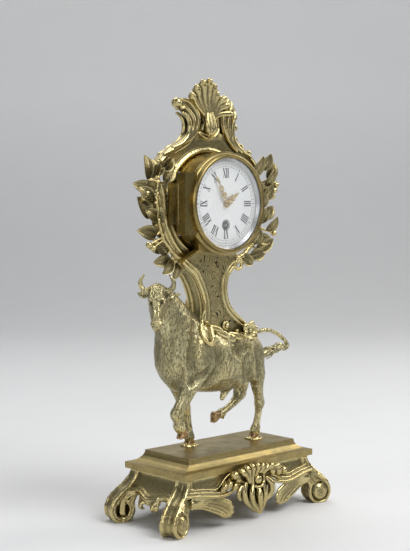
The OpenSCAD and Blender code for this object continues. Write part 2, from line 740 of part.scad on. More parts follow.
module case_drum() {
    color(polished)
        difference() {
            union() {
                rod(0, 0, case_front, case_back, case_r);
                rod(0, 0, rim_front, case_back, case_r + rim_h);
                slab(rim_front, case_back)
                    for (a = lug_angles)
                        translate(polar(lug_ring, a))
                            circle(r = 2.3);
                for (z = [-1, 1])
                    knuckle(z * knuckle_step, knuckle_l, rim_front + 0.1, back_hinge_y - 0.3);
                bezel_barrel(knuckle_r, -block_half, block_half);
                translate([case_x - hinge_x - 0.4, bezel_hinge_y, case_z - block_half])
                    cube([8, frame_front - frame_bead - 0.2 - bezel_hinge_y, 2 * block_half]);
            }
            rod(0, 0, case_front - 5, train_front, case_inner);
            rod(0, 0, train_front - 1, train_front + ledge_t + 1, ledge_r);
            rod(0, 0, train_front + ledge_t, case_back + 5, case_inner);
            hinge_bore(-1, bezel_hinge_y);
            hinge_bore(1, back_hinge_y);
            translate([case_x + hinge_x, back_hinge_y, case_z - knuckle_step + knuckle_l / 2])
                cylinder(r = knuckle_r + 0.3, h = 2 * knuckle_step - knuckle_l);
            translate([case_x, ped_mid, case_z - case_r - 5])
                cylinder(r = ped_bolt_r + run_fit, h = 8);
            for (a = lug_angles)
                rod(lug_ring * cos(a), lug_ring * sin(a), rim_front - 1, case_back + 1,
                    lug_screw_r + run_fit);
            for (a = ledge_angles)
                rod(ledge_screw_ring * cos(a), ledge_screw_ring * sin(a), train_front - 1,
                    train_front + ledge_t + 1, ledge_screw_r);
        }
}

module case_screws() {
    color(steel)
        for (a = lug_angles) {
            rod(lug_ring * cos(a), lug_ring * sin(a), rim_front - 2.4, case_back, lug_screw_r);
            rod(lug_ring * cos(a), lug_ring * sin(a), case_back, case_back + 0.8, 1.4);
        }
}

// Cartouche frame. It is drawn for a drum of radius 30.5 and a crest 76.8 high

frame_front = rim_front - frame_t;
frame_bead = 1;
drum_k = case_r / 30.5;
stem_base = 36;
function crest_y(y) = y <= stem_base ? y * drum_k
    : stem_base * drum_k + (y - stem_base) * (crest_h - stem_base * drum_k) / (76.8 - stem_base);
function on_frame(p) = [for (q = p) [q.x * drum_k, crest_y(q.y), q[2] * drum_k]];

left_stem = [[-42, 17, 1], [-39.6, 22.4, 1.9], [-34, 28.2, 2.3], [-27.2, 32.4, 2.5],
    [-19.8, 36, 2.7], [-14.4, 40.4, 2.9], [-11.6, 46, 3], [-12, 52, 3],
    [-15, 56.4, 2.7], [-18.8, 57.2, 2.2], [-21, 54.8, 1.6], [-19.4, 52.8, 1.1]];
right_stem = [[44.4, 17, 1], [42, 22.4, 1.9], [36.4, 28.2, 2.3], [29.6, 32.2, 2.5],
    [23, 35.6, 2.7], [19.6, 40, 2.9], [19.4, 46, 3.1], [21, 52, 2.9], [21.4, 57, 2.3],
    [19.6, 61.4, 1.4], [17.4, 64, 0.6]];
side_scroll = [[38.6, 12, 0.8], [36.4, 7, 1.6], [35.4, 0, 2.2], [34.4, -9, 2.4],
    [30.6, -18.6, 2.6], [25, -26.6, 2.8], [19, -32.4, 2.8]];
spandrel = [[-34, 22], [-30, 31], [-22, 35], [-17, 39], [-12, 42.4], [-5, 43.2], [1.5, 41.4],
    [8, 43.2], [14, 42.4], [18, 39], [22.6, 35], [30, 31], [34, 22]];

module frame_slab(front, back) {
    slab(front, back) {
        polygon(ribbon(smooth(on_frame(left_stem), 3)));
        polygon(ribbon(smooth(on_frame(right_stem), 3)));
        for (s = [-1, 1])
            polygon(ribbon(smooth([for (q = on_frame(side_scroll)) [s * q.x, q.y, q[2]]], 3)));
    }
}

module frame_solid() {
    difference() {
        union() {
            frame_slab(frame_front, rim_front);
            slab(frame_front, rim_front) {
                circle(r = case_r + 4);
                polygon([for (q = spandrel) [q.x * drum_k, crest_y(q.y)]]);
            }
            // A bead round the drum and a raised rib along each scroll
            slab(frame_front - frame_bead, frame_front)
                circle(r = case_r + 2);
            slab(frame_front - frame_bead, frame_front) {
                for (line = [left_stem, right_stem])
                    polygon(ribbon([for (q = smooth(on_frame(line), 3)) [q.x, q.y, q[2] * 0.45]]));
                for (s = [-1, 1])
                    polygon(ribbon([for (q = smooth(on_frame(side_scroll), 3))
                        [s * q.x, q.y, q[2] * 0.45]]));
            }
        }
        rod(0, 0, frame_front - 5, rim_front + 1, case_r + seat_gap);
        pedestal_blank();
        for (a = lug_angles)
            rod(lug_ring * cos(a), lug_ring * sin(a), rim_front - 2.6, rim_front + 1, lug_screw_r);
    }
}

module cartouche_frame() {
    color(gilt)
        frame_solid();
}

// Crest: seven lobes fan out from a rolled lip, the middle one the highest
lobes = [[-14.6, 61.4, 2.4], [-11.6, 67.8, 2.6], [-6.6, 72, 2.7], [0.4, 74, 2.8], [7.6, 72, 2.7],
    [13.4, 67.4, 2.6], [16.8, 60.6, 2.2]];

module crest_shell() {
    root = [1.4, 45];
    shell_y = frame_front + frame_t / 2;
    module knob(p, r, y) {
        translate([case_x + p.x * drum_k, shell_y + y, case_z + crest_y(p.y)])
            sphere(r = r, $fn = 10);
    }
    color(gilt)
        difference() {
            union() {
                for (q = lobes)
                    hull() {
                        knob(root + 0.1 * ([q.x, q.y] - root), 1.8, 0);
                        knob(root + 0.6 * ([q.x, q.y] - root), 2.1, -2.6);
                        knob([q.x, q.y], q[2], -3.2);
                    }
                for (s = [-1, 1])
                    hull() {
                        knob(root + [0, -2], 2, -3);
                        knob(root + [s * 6, 0.4], 1.4, -2.4);
                    }
                hull() {
                    knob(root, 2.6, 0);
                    knob(root + [0, -2.4], 1.6, 0);
                }
            }
            frame_solid();
        }
}

// Laurel. Each leaf is [x, z, heading, share of the leaf's length], each bud [x, z]
left_twig = [[-19.6, -35], [-28, -31], [-36, -23], [-41, -12], [-42.6, 0], [-42.2, 11], [-40, 20.4]];
left_leaves = [[-49, 13.9, 101, 1.05], [-43.6, 15.1, 98, 0.8], [-45, 8, 163, 0.95],
    [-44.4, 0.7, 144, 1.1], [-47, -8.7, 124, 1.1], [-40.4, -13.6, 92, 1.1],
    [-43, -18.2, 169, 1.05], [-34, -30, 137, 0.95], [-31, -33, 190, 0.8], [-30, -33.6, 225, 0.8],
    [-26, -35, 262, 0.75], [-36, 12.3, 49, 1.05], [-38, 20, 40, 0.8]];
left_buds = [[-52.6, 3.4], [-50.4, 6], [-48.6, -24.2], [-45.6, -26]];
right_twig = [[21, -35], [30, -31.6], [38, -24], [43, -13], [45, 0], [44.4, 11], [41, 20.4]];
right_leaves = [[34.5, 16, 61, 1.15], [44.3, 21, 57, 0.9], [51, 15, 66, 0.85],
    [47.1, 11, 64, 0.85], [46.2, 2.2, 59, 0.85], [46, -9.8, 42, 0.85], [49, -17.5, 56, 0.8],
    [40, -29.5, 28, 1.05], [34.5, -33.7, 14, 0.95], [44, -4, 95, 0.8], [40, -22, 350, 0.8]];
right_buds = [[57, 12], [55.4, 8.4], [53.6, 4.6], [55, -19]];

// A leaf from a to b: pointed at both ends, thin, creased along the middle and bowed forward
module leaf(a, b, w, bow) {
    side = unit(cross(b - a, [0, 1, 0]));
    loft([for (i = [0:5]) let (t = i / 5, p = a + (b - a) * t)
        [p.x, p.y - bow * sin(180 * t), p.z, 0.15 + w / 2 * sin(180 * pow(t, 0.85)), 0.7 - 0.4 * t]],
        side, 4);
}

module branch(twig, leaves, buds, lean) {
    twig_y = frame_front - 1.3;
    function at(p, y) = [case_x + p.x * drum_k, y, case_z + p.y * drum_k];
    line = smooth(twig, 2);
    function near(p, i = 0, best = 0) = i == len(line) ? line[best]
        : near(p, i + 1, norm(line[i] - p) < norm(line[best] - p) ? i : best);
    loft([for (i = [0:len(line) - 1]) concat(at(line[i], twig_y), [2 - 0.08 * i, 1.8 - 0.08 * i])],
        [0, 1, 0], 6);
    for (i = [0:len(leaves) - 1]) {
        q = leaves[i];
        from = [q.x, q.y];
        deep = lean + (i % 3 - 1) * 1.8;
        hull() {
            translate(at(near(from), twig_y))
                sphere(r = 0.8, $fn = 6);
            translate(at(from, twig_y + 0.3 * deep))
                sphere(r = 0.7, $fn = 6);
        }
        leaf(at(from, twig_y + 0.3 * deep), at(from + polar(leaf_l * q[3], q[2]), twig_y + deep),
            leaf_w * q[3], 1.4);
    }
    for (q = buds)
        hull() {
            translate(at(near(q), twig_y))
                sphere(r = 0.4, $fn = 6);
            translate(at(q, twig_y + lean))
                sphere(r = 1.7, $fn = 10);
        }
}

module laurel_left() {
    color(gilt)
        difference() {
            branch(left_twig, left_leaves, left_buds, 3);
            frame_solid();
            pedestal_blank();
            rod(0, 0, case_front - 1, case_back, case_r + 1);
        }
}

module laurel_right() {
    color(gilt)
        difference() {
            branch(right_twig, right_leaves, right_buds, -3);
            frame_solid();
            pedestal_blank();
            rod(0, 0, case_front - 1, case_back, case_r + 1);
        }
}

// Bezel: two beads outside, with the glass held from behind by the sight ring

dial_face = dial_back - dial_t;
plate_rim = plate_r + 0.2;
bezel_bore = plate_rim + 0.35;
glass_r = plate_r - 0.2;
glass_d = case_front - dial_face + 1.95;
glass_rise = 1.8;
sight_d = case_front - dial_face + 0.25;

function arc(c, r, a0, a1, n) = [for (i = [0:n]) c + polar(r, a0 + (a1 - a0) * i / n)];

module front_bezel() {
    lip_r = glass_r - 0.8;
    glass_out = glass_d + glass_t + 0.05;
    color(polished)
        difference() {
            union() {
                turned(concat([[bezel_bore, 0.1]], arc([bezel_r - 1.2, 1.3], 1.2, -90, 90, 6),
                    [[bezel_r - 1.7, 2.8]],
                    arc([bezel_r - 3, bezel_d - 1.5], 1.5, -10, 120, 6),
                    [[lip_r, bezel_d - 0.6], [lip_r, glass_out], [glass_r + 0.05, glass_out],
                        [glass_r + 0.05, glass_d - 0.05], [bezel_bore, glass_d - 0.05]]));
                bezel_barrel(knuckle_r, -strap_half, strap_half);
                translate([case_x - hinge_x - knuckle_r, strap_front, case_z - strap_half])
                    cube([strap_t, bezel_hinge_y - strap_front, 2 * strap_half]);
                difference() {
                    translate([case_x - hinge_x - knuckle_r + 0.5, strap_front, case_z - strap_half])
                        cube([9, 2.6, 2 * strap_half]);
                    rod(0, 0, strap_front - 1, case_front, bezel_bore + 0.6);
                }
            }
            hinge_bore(-1, bezel_hinge_y);
            bezel_barrel(knuckle_r + 0.3, -block_half - 0.2, block_half + 0.2);
        }
}

module sight_ring() {
    color(steel)
        turned([[dial_r - 0.8, sight_d], [bezel_bore - 0.05, sight_d],
            [bezel_bore - 0.05, glass_d - 0.05], [glass_r - 0.9, glass_d - 0.05]]);
}

module bezel_glass() {
    flat = glass_r - 1.2;
    dome = [for (i = [0:8]) let (r = flat * i / 8) [r, glass_d + glass_rise * (1 - pow(i / 8, 2))]];
    color(clear)
        turned(concat(dome, [[glass_r, glass_d], [glass_r, glass_d + glass_t]],
            [for (i = [8:-1:0]) dome[i] + [0, glass_t]]));
}

module pin_at(s, y, half) {
    translate([case_x + s * hinge_x, y, case_z - half])
        cylinder(r = pin_r, h = 2 * half, $fn = 32);
    for (z = [-half - 0.5, half])
        translate([case_x + s * hinge_x, y, case_z + z])
            cylinder(r = pin_r * 1.5, h = 0.5, $fn = 32);
}

module bezel_hinge_pin() {
    color(steel)
        pin_at(-1, bezel_hinge_y, strap_half);
}

module back_hinge_pin() {
    color(steel)
        pin_at(1, back_hinge_y, knuckle_step + knuckle_l / 2);
}

module back_door() {
    door_r = case_r + 0.4;
    color(polished)
        difference() {
            union() {
                turned([[0, -case_len - 0.1], [door_r, -case_len - 0.1],
                    [door_r, -case_len - 0.1 - door_t * 0.6], [door_r - 0.6, -case_len - 0.1 - door_t],
                    [0, -case_len - 0.1 - door_t]]);
                turned([[case_inner - 3, -case_len - door_t], [case_inner - 1.6, -case_len - door_t],
                    [case_inner - 2, -case_len - door_t - 0.7],
                    [case_inner - 2.6, -case_len - door_t - 0.7]]);
                knuckle(0, 2 * knuckle_step - knuckle_l - 0.4, back_hinge_y,
                    back_hinge_y + door_t);
            }
            hinge_bore(1, back_hinge_y);
            rod(knob_x, 0, case_back - 1, case_back + 5, knob_stem_r);
        }
}

knob_x = -21;
knob_stem_r = 0.9;

module door_knob() {
    outer = case_back + 0.1 + door_t;
    color(polished)
        translate([case_x + knob_x, outer, case_z])
            rotate([-90, 0, 0])
                rotate_extrude()
                    polygon(concat([[0, -door_t], [knob_stem_r, -door_t], [knob_stem_r, 0],
                        [2, 0], [1.6, 0.4], [0.9, 0.8], [0.9, 1.2]],
                        [for (a = [-60:20:80]) [1.7 * cos(a), 2.6 + 1.7 * sin(a)]], [[0, 4.3]]));
}

// Dial and hands

pipe_hole_r = 2;

module dial() {
    color(enamel)
        difference() {
            turned([[0, case_front - dial_back], [dial_r, case_front - dial_back],
                [dial_r, case_front - dial_face - 0.45], [dial_r - 1.4, case_front - dial_face],
                [0, case_front - dial_face]]);
            rod(0, 0, dial_face - 1, dial_back + 1, pipe_hole_r);
            rod(0, -wind_drop, dial_face - 1, dial_back + 1, wind_hole_r);
        }
}

dial_feet = [30, 150, 250];
dial_feet_ring = plate_r - 4.6;
dial_foot_r = 0.8;

module dial_plate() {
    color(brass)
        difference() {
            union() {
                rod(0, 0, dial_back, dial_back + dial_plate_t, plate_rim);
                for (a = dial_feet)
                    rod(dial_feet_ring * cos(a), dial_feet_ring * sin(a), dial_back, train_front,
                        dial_foot_r);
            }
            rod(0, 0, dial_back - 1, dial_back + 2, pipe_hole_r);
            rod(0, -wind_drop, dial_back - 1, dial_back + 2, wind_hole_r);
        }
}

hand_t = 0.3;
hour_hand_y = dial_face - 0.6;
minute_hand_y = hour_hand_y - 0.9;

// A pierced hand pointing up: a hub, two pierced swells and a spear
module hand_shape(l, w, hub, bore) {
    difference() {
        union() {
            circle(r = hub);
            for (q = [[0.34, 1], [0.6, 0.8]])
                translate([0, l * q[0]])
                    circle(r = w * q[1]);
            polygon([[-0.3, 0], [0.3, 0], [0.25, l * 0.7], [w * 0.5, l * 0.8], [0, l],
                [-w * 0.5, l * 0.8], [-0.25, l * 0.7]]);
            for (s = [-1, 1])
                translate([s * w * 0.36, l * 0.47])
                    circle(r = w * 0.42, $fn = 24);
        }
        circle(r = bore);
        for (q = [[0.34, 1], [0.6, 0.8]])
            for (s = [-1, 1])
                translate([s * w * q[1] * 0.5, l * q[0]])
                    circle(r = w * q[1] * 0.32, $fn = 24);
    }
}

hour_pipe_r = 1.75;
cannon_pipe_r = 1.15;
centre_r = 0.6;

module hour_hand() {
    color(brass)
        slab(hour_hand_y - hand_t, hour_hand_y)
            rotate(-30 * show_hour - show_minute / 2)
                hand_shape(hour_l, 1.9, hour_pipe_r + 0.7, hour_pipe_r);
}

module minute_hand() {
    color(brass)
        slab(minute_hand_y - hand_t, minute_hand_y)
            rotate(-6 * show_minute)
                hand_shape(minute_l, 1.5, cannon_pipe_r + 0.8, cannon_pipe_r);
}

module hand_nut() {
    color(brass)
        rod(0, 0, minute_hand_y - hand_t - 0.7, minute_hand_y - hand_t, 1.3);
}

// Gears. Points of a wheel with slender straight teeth, a tooth lying on +X
function tooth(r, m, p, a, w0, w1) = [for (q = [[r - 1.15 * m, -w0], [r + 0.8 * m, -w1],
    [r + 0.8 * m, w1], [r - 1.15 * m, w0]]) polar(q[0], a + q[1] * p)];
function gear(n, m) = [for (i = [0:n - 1]) each tooth(n * m / 2, m, 360 / n, 360 / n * i, 0.22, 0.09)];

// A window between two spokes
module window(inner, outer, span, at) {
    polygon(concat(
        [for (i = [0:4]) polar(outer, at + span * (i / 4 - 0.5))],
        [for (i = [4:-1:0]) polar(inner, at + span * 0.72 * (i / 4 - 0.5))]));
}

module wheel(n, m, phase) {
    rim = n * m / 2 - 1.15 * m - 0.9;
    difference() {
        rotate(phase)
            polygon(gear(n, m));
        for (i = [0:4])
            window(rim * 0.36, rim, 52, 72 * i + 36);
    }
}

barrel_module = 2 * wind_drop / (barrel_teeth + centre_leaves);
motion_d = 7.2;
cannon_leaves = 12;
minute_teeth = 36;
minute_leaves = 10;
hour_teeth = 40;
cannon_module = 2 * motion_d / (cannon_leaves + minute_teeth);
hour_module = 2 * motion_d / (minute_leaves + hour_teeth);

// Arbor places, about the case's axis
barrel_at = [0, -wind_drop];
third_heading = 40;
fourth_heading = 150;
escape_heading = 160;
motion_heading = 150;
third_at = polar(centre_module * (centre_teeth + train_leaves) / 2, third_heading);
fourth_at = third_at + polar(train_module * (third_teeth + train_leaves) / 2, fourth_heading);
escape_at = fourth_at + polar(train_module * (fourth_teeth + escape_leaves) / 2, escape_heading);
motion_at = polar(motion_d, motion_heading);
lever_heading = 200;
balance_heading = 228;
escape_r = 3.3;
lever_at = escape_at + polar(escape_r + 1.9, lever_heading);
balance_at = lever_at + polar(balance_r + 1.9, balance_heading);

pivot_r = 0.3;
arbor_r = 0.6;

// A turned arbor between the plates, with a pivot in each
module arbor(at, r) {
    rod(at.x, at.y, train_front + 0.2, train_back - 0.2, r);
    rod(at.x, at.y, plate_front + 0.2, plate_back - 0.2, pivot_r);
}

module pinion(at, n, m, heading, front, back) {
    slab(front, back)
        translate(at)
            rotate(heading + 180 + 180 / n)
                polygon(gear(n, m));
}

// Movement plates

ledge_angles = [90, 210, 330];
ledge_screw_ring = ledge_r + 0.75;
ledge_screw_r = 0.45;
pillar_angles = [48, 132, 228, 312];
pillar_ring = plate_r - 5;
pillar_r = 1.7;
plate_screw_r = 0.7;
winding_r = 1.2;
winding_back_r = 1;
click_at = barrel_at + [-8, -2.2];
click_stud_r = 0.55;
stack_back = dial_back + dial_plate_t + 0.2;

module front_plate() {
    color(brass)
        difference() {
            union() {
                rod(0, 0, plate_front, train_front, plate_r);
                rod(motion_at.x, motion_at.y, stack_back + 0.3, train_front, arbor_r);
                rod(click_at.x, click_at.y, plate_front - 1.2, train_front, click_stud_r);
            }
            rod(0, 0, plate_front - 1, train_front + 1, centre_r + run_fit);
            rod(barrel_at.x, barrel_at.y, plate_front - 1, train_front + 1, winding_r + run_fit);
            for (p = [third_at, fourth_at, escape_at])
                rod(p.x, p.y, plate_front - 1, train_front + 1, pivot_r + run_fit);
            for (a = dial_feet)
                rod(dial_feet_ring * cos(a), dial_feet_ring * sin(a), plate_front - 1,
                    train_front + 1, dial_foot_r + run_fit);
            for (a = ledge_angles)
                rod(ledge_screw_ring * cos(a), ledge_screw_ring * sin(a), plate_front - 1,
                    train_front + 1, ledge_screw_r + run_fit);
        }
}

module back_plate() {
    color(brass)
        difference() {
            rod(0, 0, train_back, plate_back, ledge_r - 0.4);
            rod(0, 0, train_back - 1, plate_back + 1, pivot_r + run_fit);
            rod(barrel_at.x, barrel_at.y, train_back - 1, plate_back + 1, winding_back_r + run_fit);
            for (p = [third_at, fourth_at, lever_at, balance_at])
                rod(p.x, p.y, train_back - 1, plate_back + 1, pivot_r + run_fit);
            rod(escape_at.x, escape_at.y, train_back - 1, plate_back + 1, arbor_r);
            for (a = pillar_angles)
                rod(pillar_ring * cos(a), pillar_ring * sin(a), train_back - 1, plate_back + 1,
                    plate_screw_r + run_fit);
        }
}

module pillars() {
    color(brass)
        for (a = pillar_angles)
            difference() {
                union() {
                    rod(pillar_ring * cos(a), pillar_ring * sin(a), train_front, train_back, pillar_r);
                    for (y = [train_front, train_back - 0.8])
                        rod(pillar_ring * cos(a), pillar_ring * sin(a), y, y + 0.8, pillar_r + 0.4);
                }
                rod(pillar_ring * cos(a), pillar_ring * sin(a), train_back - 4, train_back + 1,
                    plate_screw_r);
            }
}

module plate_screws() {
    color(blued)
        for (a = pillar_angles) {
            rod(pillar_ring * cos(a), pillar_ring * sin(a), train_back - 3.6, plate_back,
                plate_screw_r);
            rod(pillar_ring * cos(a), pillar_ring * sin(a), plate_back, plate_back + 0.8,
                plate_screw_r * 2);
        }
}

module movement_screws() {
    color(blued)
        for (a = ledge_angles) {
            rod(ledge_screw_ring * cos(a), ledge_screw_ring * sin(a), plate_front,
                train_front + ledge_t, ledge_screw_r);
            rod(ledge_screw_ring * cos(a), ledge_screw_ring * sin(a), plate_front - 0.5,
                plate_front, ledge_screw_r * 1.5);
        }
}

// Going barrel, its spring and its winding work

barrel_front = train_front + 0.4;
barrel_back = train_back - 2.4;
barrel_r = barrel_module * barrel_teeth / 2;
barrel_body_r = barrel_r - 0.9;
barrel_wall = 0.7;
barrel_tooth_y = barrel_back - 1.2;

module barrel() {
    color(brass)
        difference() {
            union() {
                rod(barrel_at.x, barrel_at.y, barrel_front, barrel_back, barrel_body_r);
                slab(barrel_tooth_y, barrel_tooth_y + 1)
                    translate(barrel_at)
                        rotate(90)
                            polygon(gear(barrel_teeth, barrel_module));
            }
            rod(barrel_at.x, barrel_at.y, barrel_front + 0.6, barrel_back + 1,
                barrel_body_r - barrel_wall);
            rod(barrel_at.x, barrel_at.y, barrel_front - 1, barrel_back, winding_r + run_fit);
        }
}

module barrel_cap() {
    color(brass)
        difference() {
            rod(barrel_at.x, barrel_at.y, barrel_back - 0.6, barrel_back,
                barrel_body_r - barrel_wall - 0.02);
            rod(barrel_at.x, barrel_at.y, barrel_back - 2, barrel_back + 1,
                winding_back_r + run_fit);
        }
}

module mainspring() {
    outer = barrel_body_r - barrel_wall - 0.35;
    color(steel)
        slab(barrel_front + 0.9, barrel_back - 0.9)
            polygon(ribbon([for (q = spiral([0, 0], outer, 2.5, 0, 1980, 132, 0.22, 0.22))
                [q.x + barrel_at.x, q.y + barrel_at.y, q[2]]]));
}

module winding_arbor() {
    square = 1.7;
    color(steel) {
        rod(barrel_at.x, barrel_at.y, barrel_front + 0.75, barrel_back - 0.75, 2);
        rod(barrel_at.x, barrel_at.y, plate_front - 1.2, barrel_back - 1, winding_r);
        rod(barrel_at.x, barrel_at.y, barrel_back - 1, plate_back - 0.2, winding_back_r);
        translate([case_x - square / 2, dial_face + 0.3, case_z - wind_drop - square / 2])
            cube([square, plate_front - 1.2 - dial_face - 0.3, square]);
    }
}

ratchet_r = 4.2;
ratchet_teeth = 18;
ratchet_front = plate_front - 0.9;
ratchet_back = plate_front - 0.2;

module ratchet_wheel() {
    step = 360 / ratchet_teeth;
    color(steel)
        slab(ratchet_front, ratchet_back)
            translate(barrel_at)
                difference() {
                    polygon([for (i = [0:ratchet_teeth - 1]) each
                        [polar(ratchet_r, step * i), polar(ratchet_r - 0.8, step * (i + 0.12))]]);
                    circle(r = winding_r + 0.02);
                }
}

// The click is drawn lifted just clear of the ratchet's teeth
module click() {
    nose = barrel_at + polar(ratchet_r + 0.2, 186);
    color(steel)
        slab(ratchet_front, ratchet_back)
            difference() {
                polygon(concat(arc(click_at, 1.3, 95, 325, 12), [nose + [0, -0.3],
                    nose + [-0.1, 0.5]]));
                translate(click_at)
                    circle(r = click_stud_r + run_fit);
            }
}

module click_spring() {
    foot = click_at + [-5, 5.4];
    color(steel)
        slab(ratchet_front, plate_front)
            polygon(ribbon(concat([concat(foot + [-1, 0.5], [0.7]), concat(foot, [1]),
                concat(foot + [0.8, -0.4], [0.7])],
                smooth([concat(foot + [1.6, -0.8], [0.25]), concat(foot + [4, -2.2], [0.2]),
                concat(click_at + [0.2, 1.8], [0.15])], 4))));
}

// Train

centre_y = train_back - 1.4;
third_y = train_back - 4.8;
fourth_y = train_back - 7.2;
wheel_t = 0.8;

module centre_wheel() {
    color(brass) {
        slab(centre_y, centre_y + wheel_t)
            wheel(centre_teeth, centre_module, third_heading);
        pinion([0, 0], centre_leaves, barrel_module, 90, barrel_tooth_y - 0.3, barrel_tooth_y + 1.4);
        rod(0, 0, train_front + 0.2, train_back - 0.2, 0.9);
        rod(0, 0, minute_hand_y + 0.2, train_front + 0.5, centre_r);
        rod(0, 0, train_back - 0.5, plate_back - 0.2, pivot_r);
    }
}

module third_wheel() {
    color(brass) {
        slab(third_y, third_y + wheel_t)
            translate(third_at)
                wheel(third_teeth, train_module, fourth_heading);
        pinion(third_at, train_leaves, centre_module, third_heading, centre_y - 0.5,
            centre_y + 1.2);
        arbor(third_at, arbor_r);
    }
}

module fourth_wheel() {
    color(brass) {
        slab(fourth_y, fourth_y + wheel_t)
            translate(fourth_at)
                wheel(fourth_teeth, train_module, escape_heading);
        pinion(fourth_at, train_leaves, train_module, fourth_heading, third_y - 0.5, third_y + 1.2);
        arbor(fourth_at, arbor_r - 0.1);
    }
}

escape_y = plate_back + 1.1;
escape_t = 0.5;
bridge_front = escape_y + 1;
bridge_t = 0.8;

module escape_wheel() {
    n = 15;
    color(brass) {
        slab(escape_y, escape_y + escape_t)
            translate(escape_at)
                difference() {
                    polygon([for (i = [0:n - 1]) each [polar(escape_r - 0.9, 24 * i),
                        polar(escape_r, 24 * i + 9), polar(escape_r, 24 * i + 12),
                        polar(escape_r - 0.9, 24 * i + 9)]]);
                    for (i = [0:3])
                        window(0.9, escape_r - 1.4, 64, 90 * i);
                }
        pinion(escape_at, escape_leaves, train_module, escape_heading, fourth_y - 0.4,
            fourth_y + 1.2);
        rod(escape_at.x, escape_at.y, train_front + 0.2, bridge_front - 0.2, 0.45);
        rod(escape_at.x, escape_at.y, plate_front + 0.2, bridge_front + bridge_t - 0.1, pivot_r);
    }
}

module link(a, b, w) {
    n = unit([a.y - b.y, b.x - a.x]) * w / 2;
    polygon([a + n, a - n, b - n, b + n]);
}

module pallet_lever() {
    pallet_ring = escape_r + 0.7;
    fork = lever_at + polar(balance_r + 1.9 - 1.6, balance_heading);
    across = polar(1, balance_heading + 90);
    color(steel) {
        slab(escape_y, escape_y + escape_t) {
            translate(lever_at)
                circle(r = 0.9);
            for (s = [-1, 1]) {
                tip = escape_at + polar(pallet_ring, lever_heading + s * 38);
                link(lever_at, tip, 0.8);
                translate(tip)
                    circle(r = 0.4, $fn = 24);
                link(fork + across * s * 0.5 - polar(0.4, balance_heading),
                    fork + across * s * 0.6 + polar(0.5, balance_heading), 0.4);
            }
            link(lever_at, fork, 0.7);
            link(fork - across * 0.7, fork + across * 0.7, 0.5);
        }
        rod(lever_at.x, lever_at.y, train_back + 0.4, bridge_front + bridge_t - 0.1, pivot_r);
    }
}

balance_y = bridge_front + 0.3;
collet_y = balance_y + 1.1;
cock_front = collet_y + 0.9;
cock_t = 0.8;
cock_heading = 250;

module balance() {
    color(brass) {
        slab(balance_y, balance_y + 0.7)
            translate(balance_at) {
                difference() {
                    circle(r = balance_r);
                    circle(r = balance_r - 0.7);
                }
                link([-balance_r + 0.4, 0], [balance_r - 0.4, 0], 0.8);
                circle(r = 1);
            }
        rod(balance_at.x, balance_at.y, escape_y, escape_y + escape_t, 0.8);
        rod(balance_at.x, balance_at.y, plate_back + 0.1, cock_front - 0.1, 0.4);
        rod(balance_at.x, balance_at.y, collet_y, collet_y + 0.6, 0.75);
        rod(balance_at.x, balance_at.y, train_back + 0.4, cock_front + cock_t - 0.1, pivot_r);
    }
}

module hairspring() {
    outer = balance_r - 1.3;
    stud = balance_at + polar(outer, cock_heading);
    color(blued) {
        slab(collet_y + 0.1, collet_y + 0.5)
            polygon(ribbon([for (q = spiral([0, 0], outer, 0.95, cock_heading,
                cock_heading + 2160, 108, 0.07, 0.07))
                [q.x + balance_at.x, q.y + balance_at.y, q[2]]]));
        rod(stud.x, stud.y, collet_y + 0.1, cock_front, 0.3);
    }
}

module balance_cock() {
    foot = balance_at + polar(balance_r + 2.5, cock_heading);
    color(brass)
        difference() {
            union() {
                slab(cock_front, cock_front + cock_t) {
                    translate(balance_at)
                        circle(r = 1.6);
                    link(balance_at, foot, 2.2);
                }
                rod(foot.x, foot.y, plate_back, cock_front + cock_t, 1.7);
            }
            rod(balance_at.x, balance_at.y, cock_front - 1, cock_front + cock_t + 1,
                pivot_r + run_fit);
        }
}

module lever_bridge() {
    foot = escape_at + polar(escape_r + 2, 80);
    color(brass)
        difference() {
            union() {
                slab(bridge_front, bridge_front + bridge_t) {
                    link(foot, escape_at, 2);
                    link(escape_at, lever_at, 1.8);
                    for (p = [escape_at, lever_at])
                        translate(p)
                            circle(r = 1.1);
                }
                rod(foot.x, foot.y, plate_back, bridge_front + bridge_t, 1.4);
            }
            for (p = [escape_at, lever_at])
                rod(p.x, p.y, bridge_front - 1, bridge_front + bridge_t + 1, pivot_r + run_fit);
        }
}

// Motion work

module cannon_pinion() {
    color(steel)
        difference() {
            union() {
                slab(plate_front - 1.2, plate_front - 0.2)
                    rotate(motion_heading)
                        polygon(gear(cannon_leaves, cannon_module));
                rod(0, 0, minute_hand_y - hand_t, plate_front - 0.2, cannon_pipe_r);
            }
            rod(0, 0, minute_hand_y + 0.05, plate_front + 1, centre_r + run_fit);
        }
}

module minute_wheel() {
    color(brass)
        difference() {
            union() {
                slab(plate_front - 1.1, plate_front - 0.4)
                    translate(motion_at)
                        rotate(motion_heading + 180 + 180 / minute_teeth)
                            polygon(gear(minute_teeth, cannon_module));
                slab(stack_back + 0.4, plate_front - 1)
                    translate(motion_at)
                        rotate(motion_heading)
                            polygon(gear(minute_leaves, hour_module));
            }
            rod(motion_at.x, motion_at.y, dial_back, plate_front + 1, arbor_r + run_fit);
        }
}

module hour_wheel() {
    color(brass)
        difference() {
            union() {
                slab(stack_back + 0.5, stack_back + 1.3)
                    rotate(motion_heading + 180 / hour_teeth)
                        polygon(gear(hour_teeth, hour_module));
                rod(0, 0, hour_hand_y - hand_t, stack_back + 1.3, hour_pipe_r);
            }
            rod(0, 0, hour_hand_y - 2, plate_front, cannon_pipe_r + run_fit);
        }
}

